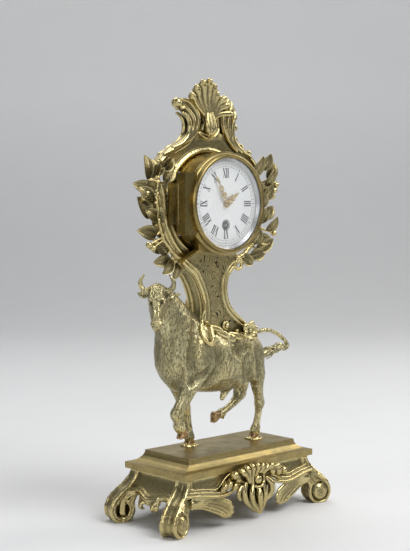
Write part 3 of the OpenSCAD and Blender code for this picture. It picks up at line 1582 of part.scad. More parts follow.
stand();
stand_screws();
apron_shell();
plinth();
bull();
tail();
hoof_bolts();
pedestal();
pedestal_bolt();
case_drum();
case_screws();
cartouche_frame();
crest_shell();
laurel_left();
laurel_right();
front_bezel();
sight_ring();
bezel_glass();
bezel_hinge_pin();
back_door();
door_knob();
back_hinge_pin();
dial();
dial_plate();
hour_hand();
minute_hand();
hand_nut();
front_plate();
back_plate();
pillars();
plate_screws();
movement_screws();
barrel();
barrel_cap();
mainspring();
winding_arbor();
ratchet_wheel();
click();
click_spring();
centre_wheel();
cannon_pinion();
minute_wheel();
hour_wheel();
third_wheel();
fourth_wheel();
escape_wheel();
pallet_lever();
balance();
hairspring();
balance_cock();
lever_bridge();
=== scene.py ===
# %% [markdown]
# # A figural mantel clock, dressed in Blender
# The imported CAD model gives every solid, joint and real size of this clock. This lesson keeps its
# mechanical parts and gives them metal, and it sculpts the cast ornament around the same lines:
# the bull, the scroll-footed stand, the pedestal, the cartouche frame, the shell and the laurels.
# The heights and the dial's axis are read from the frame, so the castings meet the parts that stay.

# %% Load the frame
import math
import bpy
import numpy as np
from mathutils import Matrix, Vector


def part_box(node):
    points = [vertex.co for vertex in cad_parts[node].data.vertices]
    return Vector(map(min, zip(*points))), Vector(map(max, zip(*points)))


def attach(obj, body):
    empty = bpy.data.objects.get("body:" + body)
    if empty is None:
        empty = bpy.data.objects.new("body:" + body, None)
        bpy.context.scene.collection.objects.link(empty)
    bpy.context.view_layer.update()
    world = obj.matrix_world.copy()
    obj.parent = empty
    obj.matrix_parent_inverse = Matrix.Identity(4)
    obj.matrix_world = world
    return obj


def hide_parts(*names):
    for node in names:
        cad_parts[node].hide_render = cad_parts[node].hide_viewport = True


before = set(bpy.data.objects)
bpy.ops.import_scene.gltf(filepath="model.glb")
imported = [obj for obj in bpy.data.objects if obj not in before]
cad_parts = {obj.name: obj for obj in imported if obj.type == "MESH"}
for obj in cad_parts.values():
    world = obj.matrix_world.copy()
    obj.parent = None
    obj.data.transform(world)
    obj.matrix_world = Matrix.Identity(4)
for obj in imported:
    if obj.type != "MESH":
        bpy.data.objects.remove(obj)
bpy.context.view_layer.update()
MM = 0.001


def cad(node, corner, axis):
    """One coordinate of a CAD node's low (0) or high (1) corner, in millimetres."""
    return round(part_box(node)[corner][axis] / MM, 1)


STAND_H, PLINTH_TOP = cad("stand", 1, 2), cad("plinth", 1, 2)
BACK_Z = PLINTH_TOP + 70              # where the pedestal stands on the bull's back
CASE = np.array([cad("dial", 0, axis) + cad("dial", 1, axis) for axis in range(3)]) / 2
DIAL_FACE = cad("dial", 0, 1)


def from_axis(a, b, y, *halves):
    """A station beside (a) and above (b) the dial's axis, at a depth y."""
    return [CASE[0] + a, y, CASE[2] + b, *halves]


print("stand and plinth tops:", STAND_H, PLINTH_TOP, "dial axis:", CASE, "dial face:", DIAL_FACE)

# %% [markdown]
# ## The camera
# The photograph looks down a little from the front left, through a long lens. The camera comes
# first, because it decides how fine each piece has to be: one pixel covers about 0.6 mm.

# %% Camera
azimuth, pitch, distance = math.radians(-43.44), math.radians(3.56), 0.74
target = Vector((-13.81, 0, 149.04)) * MM
back = Vector((math.sin(azimuth) * math.cos(pitch), -math.cos(azimuth) * math.cos(pitch),
               math.sin(pitch)))
camera = bpy.data.objects.new("camera", bpy.data.cameras.new("camera"))
camera.data.lens, camera.data.sensor_width = 78.55, 36
camera.data.clip_start, camera.data.clip_end = 0.01, 20
camera.location = target + back * distance
camera.rotation_mode = "QUATERNION"
camera.rotation_quaternion = (-back).to_track_quat("-Z", "Y")
bpy.context.scene.collection.objects.link(camera)
bpy.context.scene.camera = camera
bpy.context.scene.view_settings.view_transform = "Standard"

# %% [markdown]
# ## Shader maths as expressions
# A finish on old gilt is layers of masks. Written as nodes they are hard to read, so a small class
# wraps a socket and turns `1 - mask * 0.5` into Math nodes. Everything that isn't plain arithmetic
# comes from one method, which takes a node's type, its settings and its sockets.

# %% Wires and finishes
class Wire:
    """An output socket. Arithmetic on it adds Math nodes to its tree."""

    def __init__(self, finish, socket):
        self.finish, self.socket = finish, socket

    def maths(self, operation, *values):
        return self.finish.node("ShaderNodeMath", {"operation": operation}, *values)

    def __add__(self, other):
        return self.maths("ADD", self, other)

    def __sub__(self, other):
        return self.maths("SUBTRACT", self, other)

    def __rsub__(self, other):
        return self.maths("SUBTRACT", other, self)

    def __mul__(self, other):
        return self.maths("MULTIPLY", self, other)

    def __mod__(self, other):
        return self.maths("MODULO", self, other)

    def __abs__(self):
        return self.maths("ABSOLUTE", self)

    __radd__, __rmul__ = __add__, __mul__


class Finish:
    """A node material for one kind of surface, with a Principled shader at its end."""

    def __init__(self, name, **constants):
        self.material = bpy.data.materials.new(name)
        self.material.use_nodes = True
        self.tree = self.material.node_tree
        self.shader = self.tree.nodes["Principled BSDF"]
        self.feed(**constants)

    def put(self, socket, value):
        if isinstance(value, Wire):
            self.tree.links.new(value.socket, socket)
        elif hasattr(value, "__len__") and len(value) == 3 and socket.type == "RGBA":
            socket.default_value = (*value, 1)
        else:
            socket.default_value = value

    def feed(self, **values):
        for name, value in values.items():
            self.put(self.shader.inputs[name.replace("_", " ")], value)

    def node(self, kind, settings=None, *values, out=0, **named):
        made = self.tree.nodes.new(kind)
        for key, value in (settings or {}).items():
            if key == "stops":
                while len(made.color_ramp.elements) < len(value):
                    made.color_ramp.elements.new(1)
                for stop, (place, shade) in zip(made.color_ramp.elements, value):
                    stop.position, stop.color = place, (shade, shade, shade, 1)
            else:
                setattr(made, key, value)
        for socket, value in zip(made.inputs, values):
            self.put(socket, value)
        for name, value in named.items():
            self.put(made.inputs[name.replace("_", " ")], value)
        return Wire(self, made.outputs[out])

    def place(self, turn=(0, 0, 0), scale=(1, 1, 1)):
        """Object coordinates in millimetres, turned and then scaled."""
        at = self.node("ShaderNodeTexCoord", out=3)
        return self.node("ShaderNodeMapping", {}, Vector=at, Rotation=turn,
                         Scale=[s / MM for s in scale])

    def noise(self, size, detail=2, rough=0.5, twist=0, **place):
        return self.node("ShaderNodeTexNoise", {}, Vector=self.place(**place), Scale=1 / size,
                         Detail=detail, Roughness=rough, Distortion=twist)

    def ramp(self, value, *stops):
        return self.node("ShaderNodeValToRGB", {"stops": stops}, value)

    def blend(self, share, low, high):
        """Mixes two colours."""
        mix = self.tree.nodes.new("ShaderNodeMix")
        mix.data_type = "RGBA"
        for index, value in ((0, share), (6, low), (7, high)):
            self.put(mix.inputs[index], value)
        return Wire(self, mix.outputs[2])

    def relief(self, height, depth, strength=1.0):
        """A bump of a depth in millimetres."""
        self.feed(Normal=self.node("ShaderNodeBump", {}, Height=height, Distance=depth * MM,
                                   Strength=strength))


# %% [markdown]
# ## Old gilt and brass
# Real fire-gilt bronze keeps its gold on the high points, where hands polish it, and goes brown
# green in the hollows. Each sculpted mesh carries a number at every vertex, `wear`, which is low
# in a hollow and high on a ridge, and the finish reads it. It takes a hollow down to a near-black
# deep colour and a ridge up to bright gold, so besides the real patina and polish it paints shade
# into the hollows and a highlight onto the ridges. Turned parts have no such number, so theirs
# comes from soft clouds of tarnish alone. Two finishes carry a chaser's work: short hair strokes
# are a stretched noise, and engraved lines are the level lines of a twisted one, kept to the
# vertices that are marked `panel`.

# %% Metals
def gilding(name, bright, deep, rough=0.3, carved=True, hair=None, brushed=False, engraved=False):
    finish = Finish(name, Metallic=1.0)
    clouds = finish.noise(9, detail=3)
    specks = finish.noise(1.3, detail=4, rough=0.65)
    mask = finish.ramp(clouds, (0.32, 0), (0.7, 1))
    if carved:
        # Hollows go to the deep colour and ridges to bright gold: real patina and polish, with painted
        # shade in the hollows and a painted highlight on the ridges.
        wear = finish.node("ShaderNodeAttribute", {"attribute_name": "wear"}, out=2)
        high = finish.ramp(wear + (specks - 0.5) * 0.25, (0.32, 0), (0.5, 0.62), (0.6, 1))
    else:
        high = finish.ramp(clouds * 0.6 + specks * 0.4, (0.3, 0.35), (0.62, 1))
    warm = [c * k for c, k in zip(bright, (1.06, 0.93, 0.72))]
    colour = finish.blend(high, deep, finish.blend(mask * 0.5, bright, warm))
    roughness = rough + (1 - high) * 0.28 + (specks - 0.5) * 0.16
    if hair:
        strokes = finish.noise(1, detail=3, rough=0.7, twist=0.5, turn=hair, scale=(1.5, 1.5, 0.36))
        lines = finish.ramp(strokes, (0.4, 0), (0.49, 0.8), (0.57, 1))
        dull = finish.ramp(finish.noise(20, detail=1), (0.4, 0), (0.56, 1))
        colour = finish.blend(dull * 0.5 + 0.5, [c * 0.3 for c in bright], colour)
        colour = finish.blend(lines, [c * 0.2 for c in bright], colour)
        roughness = roughness + (1 - lines) * 0.15
        finish.relief(lines + specks * 0.3, 0.14, 0.8)
    elif engraved:
        panel = finish.node("ShaderNodeAttribute", {"attribute_name": "panel"}, out=2)
        swirl = (finish.noise(7, detail=0, twist=0.8) * 9) % 1 - 0.5
        cut = finish.ramp(abs(swirl), (0.09, 1), (0.15, 0)) * panel
        colour = finish.blend(cut, colour, deep)
        finish.relief((1 - cut) + specks * 0.3, 0.12, 0.7)
    elif brushed:
        lines = finish.noise(1, detail=3, scale=(0.05, 2.6, 2.6))
        finish.relief(lines * 0.5 + specks * 0.5, 0.02, 0.5)
    else:
        finish.relief(specks + finish.noise(3, detail=2) * 0.8, 0.07, 0.55)
    finish.feed(Base_Color=colour, Roughness=roughness)
    return finish.material


# DEEP, the hollow colour of the carved finishes, is patina darkened further into painted shade.
GOLD, DEEP = (0.57, 0.49, 0.25), (0.042, 0.038, 0.02)
gilt = gilding("cast_gilt", GOLD, DEEP, 0.22)
coat = gilding("chased_hair", (0.76, 0.69, 0.4), DEEP, 0.22, hair=(0, 0.3, 0))
field = gilding("plinth_gilt", (0.43, 0.35, 0.155), (0.17, 0.13, 0.06), 0.3, carved=False)
turned_brass = gilding("turned_brass", (0.36, 0.29, 0.12), (0.12, 0.09, 0.04), 0.22, carved=False,
                       brushed=True)
clean_brass = gilding("clean_brass", (0.72, 0.56, 0.27), (0.5, 0.38, 0.18), 0.22, carved=False,
                      brushed=True)


def plain_metal(name, colour, rough):
    finish = Finish(name, Metallic=1.0)
    specks = finish.noise(0.8, detail=3)
    lines = finish.noise(1, detail=2, scale=(3, 3, 0.2))
    finish.feed(Base_Color=finish.blend(specks, colour, [c * 0.75 for c in colour]),
                Roughness=rough + (lines - 0.5) * 0.2)
    finish.relief(lines, 0.01, 0.4)
    return finish.material


steel = plain_metal("bright_steel", (0.52, 0.52, 0.53), 0.3)
blued = plain_metal("blued_steel", (0.05, 0.07, 0.16), 0.25)
print("metals:", len(bpy.data.materials))

# %% [markdown]
# ## Enamel, ink and glass
# The dial is white glass fused on copper, with a faint cool cast and hairline specks. Its numerals
# are fired black. The watch glass has to show the dial, so it lets most light straight through: a
# small share of a glossy surface is cheaper and cleaner here than bending light twice.

# %% Enamel, ink, glass
enamel_finish = Finish("white_enamel", Coat_Weight=0.6, Coat_Roughness=0.05)
dust = enamel_finish.noise(0.5, detail=4, rough=0.7)
enamel_finish.feed(
    Base_Color=enamel_finish.blend(enamel_finish.ramp(dust, (0.3, 0), (0.42, 1)),
                                   (0.62, 0.63, 0.63), (0.80, 0.81, 0.81)),
    Roughness=0.16 + dust * 0.12)
enamel_finish.relief(enamel_finish.noise(6, detail=2), 0.02, 0.4)
ink_finish = Finish("fired_ink")
ink_finish.feed(Base_Color=ink_finish.blend(ink_finish.noise(0.4), (0.006, 0.006, 0.008),
                                            (0.03, 0.03, 0.035)), Roughness=0.3)
glass_finish = Finish("watch_glass", Base_Color=(0.9, 0.93, 0.94), Roughness=0.03)
glass_finish.feed(Alpha=glass_finish.noise(4) * 0.05 + 0.06)
enamel, ink, glass = enamel_finish.material, ink_finish.material, glass_finish.material

# %% [markdown]
# ## Dressing the CAD parts that stay
# Turned, flat and toothed parts are right as the CAD model made them. Each gets its own metal:
# tarnished brass on the case, clean brass on wheels and plates, bright steel on arbors and big
# screws, and blued steel on the small screws and the hairspring.

# %% CAD parts
DRESS = {"case_drum": turned_brass, "front_bezel": turned_brass, "back_door": turned_brass,
         "door_knob": turned_brass, "plinth": field, "dial": enamel, "bezel_glass": glass,
         "plate_screws": blued, "movement_screws": blued, "hairspring": blued}
STEEL_NODES = ("stand_screws hoof_bolts pedestal_bolt case_screws sight_ring bezel_hinge_pin "
               "back_hinge_pin mainspring winding_arbor ratchet_wheel click click_spring "
               "cannon_pinion pallet_lever").split()
for name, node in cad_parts.items():
    node.data.materials.clear()
    node.data.materials.append(DRESS.get(name, steel if name in STEEL_NODES else clean_brass))
print("dressed:", len(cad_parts))

# %% [markdown]
# ## Clay
# Cast ornament has no flat drawing: limbs swell into a body, and lobes melt into a boss. Blender's
# metaballs could do it, but a grid of distances gives full control in a few lines of numpy. Each
# stroke is a tapering rod with an oval section, and `blend` says how far it melts into what is
# there or how softly it is pressed in.

# %% Clay
def smooth(points, k=3):
    """A line through points with any number of values each, k steps to a stretch."""
    p = np.array(points, float)
    last = len(p) - 1
    rows = []
    for i in range(last):
        a, b, c, d = p[max(i - 1, 0)], p[i], p[i + 1], p[min(i + 2, last)]
        for t in np.arange(k) / k:
            rows.append(0.5 * (2 * b + (c - a) * t + (2 * a - 5 * b + 4 * c - d) * t ** 2
                               + (3 * b - a - 3 * c + d) * t ** 3))
    return np.array(rows + [p[last]])


def unit(v):
    return v / max(np.linalg.norm(v), 1e-9)


CORNERS = [np.array([c >> 2 & 1, c >> 1 & 1, c & 1]) for c in range(8)]


def between(look, cell, t):
    """Weighs the eight corners of each cell. look gives the values at whole grid places."""
    return sum(np.prod(np.where(o, t, 1 - t), axis=1) * look(cell + o) for o in CORNERS)


class Clay:
    """A block of space as a grid of distances, negative where there is metal."""

    def __init__(self, low, high, step=0.5):
        self.low, self.step = np.array(low, float), step
        self.axes = [np.arange(a, b + step, step, dtype=np.float32) for a, b in zip(low, high)]
        self.far = np.float32(40)
        self.f = np.full([len(a) for a in self.axes], self.far, np.float32)

    def window(self, low, high):
        """The part of the grid between two corners, with its coordinates."""
        cut = tuple(slice(max(np.searchsorted(a, l) - 1, 0), np.searchsorted(a, h) + 1)
                    for a, l, h in zip(self.axes, low, high))
        x, y, z = (a[c] for a, c in zip(self.axes, cut))
        return cut, x[:, None, None], y[None, :, None], z[None, None, :]

    def whole(self):
        return self.window([a[0] for a in self.axes], [a[-1] for a in self.axes])

    def upright(self, x0, z0):
        """The whole grid, with its coordinates beside and above a point, and its depth."""
        cut, x, y, z = self.whole()
        return cut, x - x0 + 0 * z, z - z0 + 0 * x, y

    def join(self, cut, d, blend):
        """Melts a shape, given as distances, into the metal."""
        d = np.asarray(d, np.float32)
        f = self.f[cut]
        h = np.maximum(blend - np.abs(f - d), 0) / max(blend, 1e-6)
        self.f[cut] = np.minimum(f, d) - h * h * blend / 4

    def carve(self, cut, d, blend=0.4):
        """Presses a shape into the metal."""
        d = np.asarray(d, np.float32)
        f = self.f[cut]
        h = np.maximum(blend - np.abs(f + d), 0) / max(blend, 1e-6)
        self.f[cut] = np.maximum(f, -d) + h * h * blend / 4

    def level(self, height):
        """Cuts off all that lies below a height."""
        cut, _, _, z = self.whole()
        self.carve(cut, z - height, 0.1)

    def rod(self, stations, blend=1.0, side=(0, 1, 0), carve=False):
        """Adds a rod through stations [x, y, z, half width along side, half depth]."""
        st = np.array(stations, float)
        if st.shape[1] == 4:
            st = np.column_stack([st, st[:, 3]])
        at, half = st[:, :3], st[:, 3:5]
        reach = half.max() + blend + 2 * self.step
        cut, x, y, z = self.window(at.min(0) - reach, at.max(0) + reach)
        shape = self.f[cut].shape
        if 0 in shape:
            return
        total = np.full(shape, self.far, np.float32)
        for i in range(len(at) - 1):
            a, b = at[i], at[i + 1]
            length = np.linalg.norm(b - a)
            if length < 1e-6:
                continue
            t_axis = (b - a) / length
            s = np.array(side, float)
            s = s - t_axis * s.dot(t_axis)
            s = unit(s) if np.linalg.norm(s) > 1e-3 else unit(np.cross(t_axis, (0, 0, 1)))
            u = np.cross(t_axis, s)
            near = half[i:i + 2].max() + blend + 2 * self.step
            lo, hi = np.minimum(a, b) - near, np.maximum(a, b) + near
            sub = tuple(slice(np.searchsorted(v.ravel(), l), np.searchsorted(v.ravel(), h))
                        for v, l, h in zip((x, y, z), lo, hi))
            px = x[sub[0]] - a[0]
            py = y[:, sub[1]] - a[1]
            pz = z[:, :, sub[2]] - a[2]
            along = px * t_axis[0] + py * t_axis[1] + pz * t_axis[2]
            t = np.clip(along / length, 0, 1)
            w = half[i, 0] + (half[i + 1, 0] - half[i, 0]) * t
            h = half[i, 1] + (half[i + 1, 1] - half[i, 1]) * t
            m = np.minimum(w, h)
            qs = px * s[0] + py * s[1] + pz * s[2]
            qu = px * u[0] + py * u[1] + pz * u[2]
            qt = along - t * length
            k0 = np.sqrt((qs / w) ** 2 + (qu / h) ** 2 + (qt / m) ** 2)
            k1 = np.sqrt((qs / w ** 2) ** 2 + (qu / h ** 2) ** 2 + (qt / m ** 2) ** 2) + 1e-6
            total[sub] = np.minimum(total[sub], k0 * (k0 - 1) / k1)
        if carve:
            self.carve(cut, total, blend)
        else:
            self.join(cut, total, blend)

    def ball(self, at, r, blend=0.5, carve=False):
        at = np.array(at, float)
        self.rod([[*at, r], [*(at + [0, 0, 0.01]), r]], blend, carve=carve)

    def front_of(self, x, z, way):
        """The Y at which a finger that comes along Y touches the metal, or 0 where it misses."""
        i, k = int((x - self.low[0]) / self.step), int((z - self.low[2]) / self.step)
        metal = self.axes[1][self.f[i, :, k] < 0]
        return (metal[0] if way < 0 else metal[-1]) if len(metal) else 0.0

    def sample(self, grid, points):
        """Reads a grid between its nodes."""
        g = (points - self.low) / self.step
        cell = np.clip(g.astype(int), 0, np.array(grid.shape) - 2)
        return between(lambda place: grid[tuple(place.T)], cell, g - cell)

    def slope(self, points):
        d = self.step * 0.8
        return np.stack([self.sample(self.f, points + d * e) - self.sample(self.f, points - d * e)
                         for e in np.eye(3)], 1) / (2 * d)

# %% [markdown]
# ## From clay to a mesh
# One pass turns the grid's zero surface into quads: each cell that the surface crosses gets one
# vertex, and each grid edge that it crosses joins four of them. A few steps of smoothing that keep
# to the surface even the quads out. The same grid tells how open each place stands, which is
# where hands and dusters reach and also how much light a place gets, so this mark of polish,
# patina and painted shade costs one blur of the solid and no ray casting.

# %% Skin and wear
def skin(clay, settle=2):
    """The surface as vertices and quads, one vertex to each crossed cell."""
    f, inside = clay.f, clay.f < 0
    count = sum(inside[i:i - 1 or None, j:j - 1 or None, k:k - 1 or None].astype(np.int8)
                for i in (0, 1) for j in (0, 1) for k in (0, 1))
    cells = np.argwhere((count > 0) & (count < 8))
    value = [f[tuple((cells + o).T)] for o in CORNERS]
    total, hits = np.zeros((len(cells), 3)), np.zeros(len(cells))
    for a in range(8):
        for b in (a | 4, a | 2, a | 1):
            if b == a:
                continue
            cross = (value[a] < 0) != (value[b] < 0)
            t = np.where(cross, value[a] / (value[a] - value[b] + 1e-12), 0)[:, None]
            total += np.where(cross[:, None], CORNERS[a] + t * (CORNERS[b] - CORNERS[a]), 0)
            hits += cross
    points = clay.low + clay.step * (cells + total / hits[:, None])
    number = np.full(count.shape, -1, np.int32)
    number[tuple(cells.T)] = np.arange(len(cells))
    quads = []
    for axis in range(3):
        u, v = (axis + 1) % 3, (axis + 2) % 3
        first, second = [slice(None)] * 3, [slice(None)] * 3
        first[axis], second[axis] = slice(None, -1), slice(1, None)
        a, b = inside[tuple(first)], inside[tuple(second)]
        for solid in (True, False):
            e = np.argwhere((a != b) & (a == solid))
            e = e[(e[:, u] > 0) & (e[:, v] > 0) & (e[:, u] < f.shape[u] - 1)
                  & (e[:, v] < f.shape[v] - 1)]
            ring = []
            for du, dv in ((1, 1), (0, 1), (0, 0), (1, 0)):
                c = e.copy()
                c[:, u] -= du
                c[:, v] -= dv
                ring.append(number[tuple(c.T)])
            ring = np.stack(ring, 1)
            quads.append(ring if solid else ring[:, ::-1])
    quads = np.concatenate(quads)
    edges = np.concatenate([quads[:, [i, (i + 1) % 4]] for i in range(4)])
    for _ in range(settle):
        mean = np.stack([np.bincount(edges[:, 0], points[edges[:, 1], k], len(points))
                         for k in range(3)], 1)
        mean /= np.maximum(np.bincount(edges[:, 0], minlength=len(points)), 1)[:, None]
        points = points + (mean - points) * 0.6
        grad = clay.slope(points)
        d = clay.sample(clay.f, points)[:, None]
        square = np.maximum((grad ** 2).sum(1, keepdims=True), 0.2)
        points = points - np.clip(d / square, -0.3, 0.3) * grad
    return points, quads


def openness(clay, points, reach=1.6):
    """How open the metal stands: high on a ridge, low in a hollow."""
    solid = np.clip(0.5 - clay.f / clay.step, 0, 1)
    n = max(int(round(reach / clay.step)), 1)
    for axis in range(3):
        run = np.cumsum(np.pad(solid, [(n + 1, n) if a == axis else (0, 0) for a in range(3)],
                               mode="edge"), axis=axis, dtype=np.float64)
        take = np.take(run, range(2 * n + 1, run.shape[axis]), axis=axis)
        drop = np.take(run, range(0, run.shape[axis] - 2 * n - 1), axis=axis)
        solid = (take - drop) / (2 * n + 1)
    return np.clip(1 - clay.sample(solid, points), 0, 1)


test_ball = Clay([-3, -3, -3], [3, 3, 3])
test_ball.ball((0, 0, 0), 2)
print("a 2 mm test ball has", len(skin(test_ball)[0]), "vertices")

# %% [markdown]
# ## Pieces and grain
# Every casting ends the same way: a mesh in metres, its marks, its finish, the body that it rides
# on and the CAD node that it stands for. Hammered and rough skin comes from a soft grain,
# a fixed table of numbers read between its places, so it is the same on each run.

# %% Pieces and grain
def piece(name, points, faces, finish, slot, body="clock", stands_for=(), **marks):
    """A mesh from millimetres, riding on a body and standing for CAD nodes."""
    mesh = bpy.data.meshes.new(name)
    mesh.from_pydata((np.asarray(points) * MM).tolist(), [],
                     faces.tolist() if isinstance(faces, np.ndarray) else faces)
    mesh.shade_smooth()
    for mark, values in marks.items():
        spots = mesh.attributes.new(mark, "FLOAT", "POINT")
        spots.data.foreach_set("value", np.asarray(values, np.float32))
    made = bpy.data.objects.new(name, mesh)
    bpy.context.scene.collection.objects.link(made)
    mesh.materials.append(finish)
    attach(made, body)
    if stands_for:
        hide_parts(*stands_for)
    print(f"{name}: {len(mesh.vertices)} vertices")


def cast(name, clay, finish, slot="gilt", stands_for=(), relief=None, reach=1.6, panel=None):
    """Turns clay into a metal piece. relief moves each point along its outward slope."""
    points, quads = skin(clay)
    # Openness darkens hollows and lightens ridges in the finish: polish and patina, and painted shade and
    # highlight.
    marks = {"wear": openness(clay, points, reach)}
    if panel:
        marks["panel"] = panel(points)
    if relief is not None:
        grad = clay.slope(points)
        grad /= np.maximum(np.linalg.norm(grad, axis=1, keepdims=True), 1e-6)
        points = points + grad * relief(points)[:, None]
    piece(name, points, quads, finish, slot, stands_for=stands_for, **marks)


GRAIN_SIZE = 32
TABLE = np.random.RandomState(7).rand(GRAIN_SIZE, GRAIN_SIZE, GRAIN_SIZE)


def grain(points):
    """Soft noise from 0 to 1, with a spot about one unit across."""
    cell = np.floor(points + 1000).astype(int)
    t = points + 1000 - cell
    return between(lambda place: TABLE[tuple((place % GRAIN_SIZE).T)], cell, t * t * (3 - 2 * t))


print("grain goes from", round(float(TABLE.min()), 3), "to", round(float(TABLE.max()), 3))

# %% [markdown]
# ## The bull: body, neck and legs
# The animal is one casting. Its big volumes follow the stations that the CAD solid has, so that
# the hoof bolts and the pedestal still meet it.

# %% Bull: volumes
def lifted(stations):
    """Stations measured from the plinth's top, raised to it."""
    return [[s[0], s[1], s[2] + PLINTH_TOP, *s[3:]] for s in stations]


BARREL = [[-44.5, 0, 60, 4.6, 9], [-40.5, 0, 59.4, 11.2, 16.4], [-35.5, 0, 59, 13.6, 20.4],
          [-28, 0, 58, 15.2, 22], [-18, 0, 56, 15.6, 21], [-8, 0, 53.4, 15.8, 19.6],
          [2, 0, 52.4, 15.2, 18.2], [12, 0, 53.2, 14, 16.6], [19, 0, 55, 13, 14.8],
          [22.4, 0, 56, 11, 12.6], [24.8, 0, 56, 7.6, 9]]
NECK = [[-30, 0, 64, 13, 15.6], [-38, -0.6, 74, 11.6, 13.4], [-45.5, -2, 84.6, 9, 10.8],
        [-51.5, -3.6, 92.6, 6.8, 8.6], [-55.4, -5, 97, 5, 5.8]]
DEWLAP = [[-54.6, -7.4, 88, 2.2, 3.4], [-50.6, -5.8, 79, 2.6, 4.2], [-48.6, -4.4, 67, 2.8, 4.6],
          [-45, -2.2, 54, 3.2, 5], [-39, -0.6, 43.6, 4, 4.8], [-33, 0, 39.6, 3, 3]]
STANDING_FORE = [[-33, 8, 54, 7, 9], [-29.5, 9, 42, 5, 6.4], [-25, 9.6, 32, 3.8, 4.6],
                 [-21.8, 10, 25, 3.3, 4], [-19.6, 10, 16, 2.5, 3], [-18.2, 10, 8.6, 2.5, 2.9],
                 [-17.8, 10, 5.4, 3, 3.3]]
RAISED_FORE = [[-30, -8.4, 56, 6.6, 9], [-32.6, -9.6, 46, 5.2, 6.6], [-38.4, -9.8, 37, 4.2, 5],
               [-43.2, -9.4, 29, 3.6, 4.2], [-45, -9, 25.4, 3.5, 4.1], [-44.4, -9, 21.8, 2.9, 3.5],
               [-43.8, -9, 18.8, 3, 3.5], [-42.4, -9, 16, 3, 3.2]]
STANDING_HIND = [[20.6, -7.6, 50, 5.6, 7.6], [24, -8, 43, 5.2, 5.6], [25, -7.2, 36.4, 4, 4.4],
                 [27.8, -5.8, 28.6, 2.9, 3.4], [29.4, -4.8, 22.9, 2.6, 3.3], [29.6, -4, 16.5, 2.2, 2.6],
                 [28.6, -3.2, 9.3, 2.3, 2.6], [27.8, -2.6, 5.4, 2.9, 3.1]]
RAISED_HIND = [[20.6, 7.6, 48, 5.6, 8.4], [26, 9, 38, 5.2, 7.2], [26, 9, 30.8, 4, 5],
               [23.2, 8.4, 26.2, 3, 3.6], [17.4, 8, 22, 2.2, 2.6], [11, 8, 18.8, 2.1, 2.3],
               [6.4, 8, 17, 2.6, 2.6]]
bull = Clay([-71, -18.5, PLINTH_TOP + 2], [40, 18.5, PLINTH_TOP + 112], 0.5)
for volume, blend in ((BARREL, 1), (NECK, 7), (DEWLAP, 3), (STANDING_FORE, 4), (RAISED_FORE, 4),
                      (STANDING_HIND, 4), (RAISED_HIND, 4)):
    bull.rod(smooth(lifted(volume), 3), blend)
print("bull grid:", bull.f.shape)

# %% [markdown]
# ## The bull's muscles
# Under the coat of a heavy bull the shoulder, the haunch, the hip bone and two ribs stand out, and
# soft creases part them. The swellings are rods that melt in. The creases are pressed in where a
# finger that comes from the side would meet the coat, so they stay shallow on any bulge.

# %% Bull: muscles
MUSCLES = (
    ([[-22, 9.4, 73, 3.4, 5], [-28, 11, 64, 5, 7], [-33, 11.6, 54, 5, 7.4], [-35, 10, 46, 4, 6]], 3),
    ([[-37, 4.6, 66, 3.6, 5.4], [-39.4, 4.8, 56, 3.6, 5.4], [-37, 4.8, 46, 3.4, 4.2]], 4),
    ([[9, 8.4, 67, 3.4, 4], [14.6, 9.6, 62, 4.6, 6.4], [18, 9.6, 54, 4.8, 6.4], [20.4, 9, 43, 4, 5]], 3),
    ([[8, 11.6, 65, 2.6, 3], [12, 11.8, 65.6, 2.8, 3]], 3.5),
    ([[7, 9, 40, 2, 2], [13, 10, 42, 2.4, 2.6], [19, 10, 45, 3, 3]], 5),
    ([[-28, 0.01, 81, 4.4, 3.6], [-38, 2.2, 88.6, 3.2, 3.6], [-46, 0.6, 95.4, 2.8, 3.4]], 4))
RIB = [[-1.6, 12.4, 64, 0.6], [0, 14.7, 55, 0.8], [0.6, 13.4, 45, 0.6]]
PRESSED = (([[-16.6, 72], [-15, 60], [-16.6, 50], [-22, 40]], 3.4, 1.6),
           ([[-32, 78], [-37, 67], [-38.6, 56], [-36, 46]], 3, 1.5),
           ([[5, 66], [8, 57], [9.6, 47], [12, 40]], 4, 1.3), ([[2, 62], [5, 60]], 6, 0.9),
           ([[18, 60], [19, 50], [20, 43]], 1.6, 0.7), ([[-26, 50], [-32, 47], [-37, 44]], 1.8, 1))
for s in (-1, 1):
    for stations, blend in MUSCLES:
        bull.rod(smooth(lifted([[q[0], q[1] * s, *q[2:]] for q in stations]), 2), blend)
    for x in (-10, -5.4):
        bull.rod(lifted([[x + dx, s * dy, z, r] for dx, dy, z, r in RIB]), 3)
    for line, r, deep in PRESSED:
        path = [[x, bull.front_of(x, z + PLINTH_TOP, s) + s * (r - deep), z + PLINTH_TOP, r]
                for x, z in smooth(line, 3)]
        bull.rod(path, 3.4, carve=True)
for side in (-2.1, 0, 2.1):
    fold = [[-53.6, -6.6 + side * 0.4, 87, 0.8], [-51.6, -6 + side * 0.8, 78, 1.1],
            [-50.4, -4.8 + side, 67, 1.2], [-47.2, -2.6 + side, 54.6, 1.3],
            [-41, -0.8 + side, 43, 1.1], [-35, side, 38.8, 0.6]]
    bull.rod(smooth(lifted(fold), 4), 1.4)
bull.rod(lifted([[6, 0, 37, 3.6], [1, 0, 29, 1.6]]), 3)
print("metal cells with muscles:", int((bull.f < 0).sum()))

# %% [markdown]
# ## The bull's head
# The head looks out to the viewer's left with the chin drawn in. Its own axes, sideways, forward
# and up, keep the two halves alike while the whole head is turned on the neck.

# %% Bull: head
HEAD_SIDE, HEAD_FRONT = np.array([-0.57, 0.82, 0]), np.array([-0.82, -0.57, 0])
HEAD_MID = np.array([-58.2, -6, PLINTH_TOP])


def on_head(side, front, z, *halves):
    """A station in the head's own axes, with the face narrower toward the nose."""
    turn = side - 0.21 * max(front, 0)
    return [*(HEAD_MID + turn * HEAD_SIDE + front * HEAD_FRONT + (0, 0, z)), *halves]


def head_line(rows, s=1, k=1):
    """Stations on the head, mirrored by s, as a line with k steps to a stretch."""
    return smooth([on_head(s * row[0], *row[1:]) for row in rows], k)


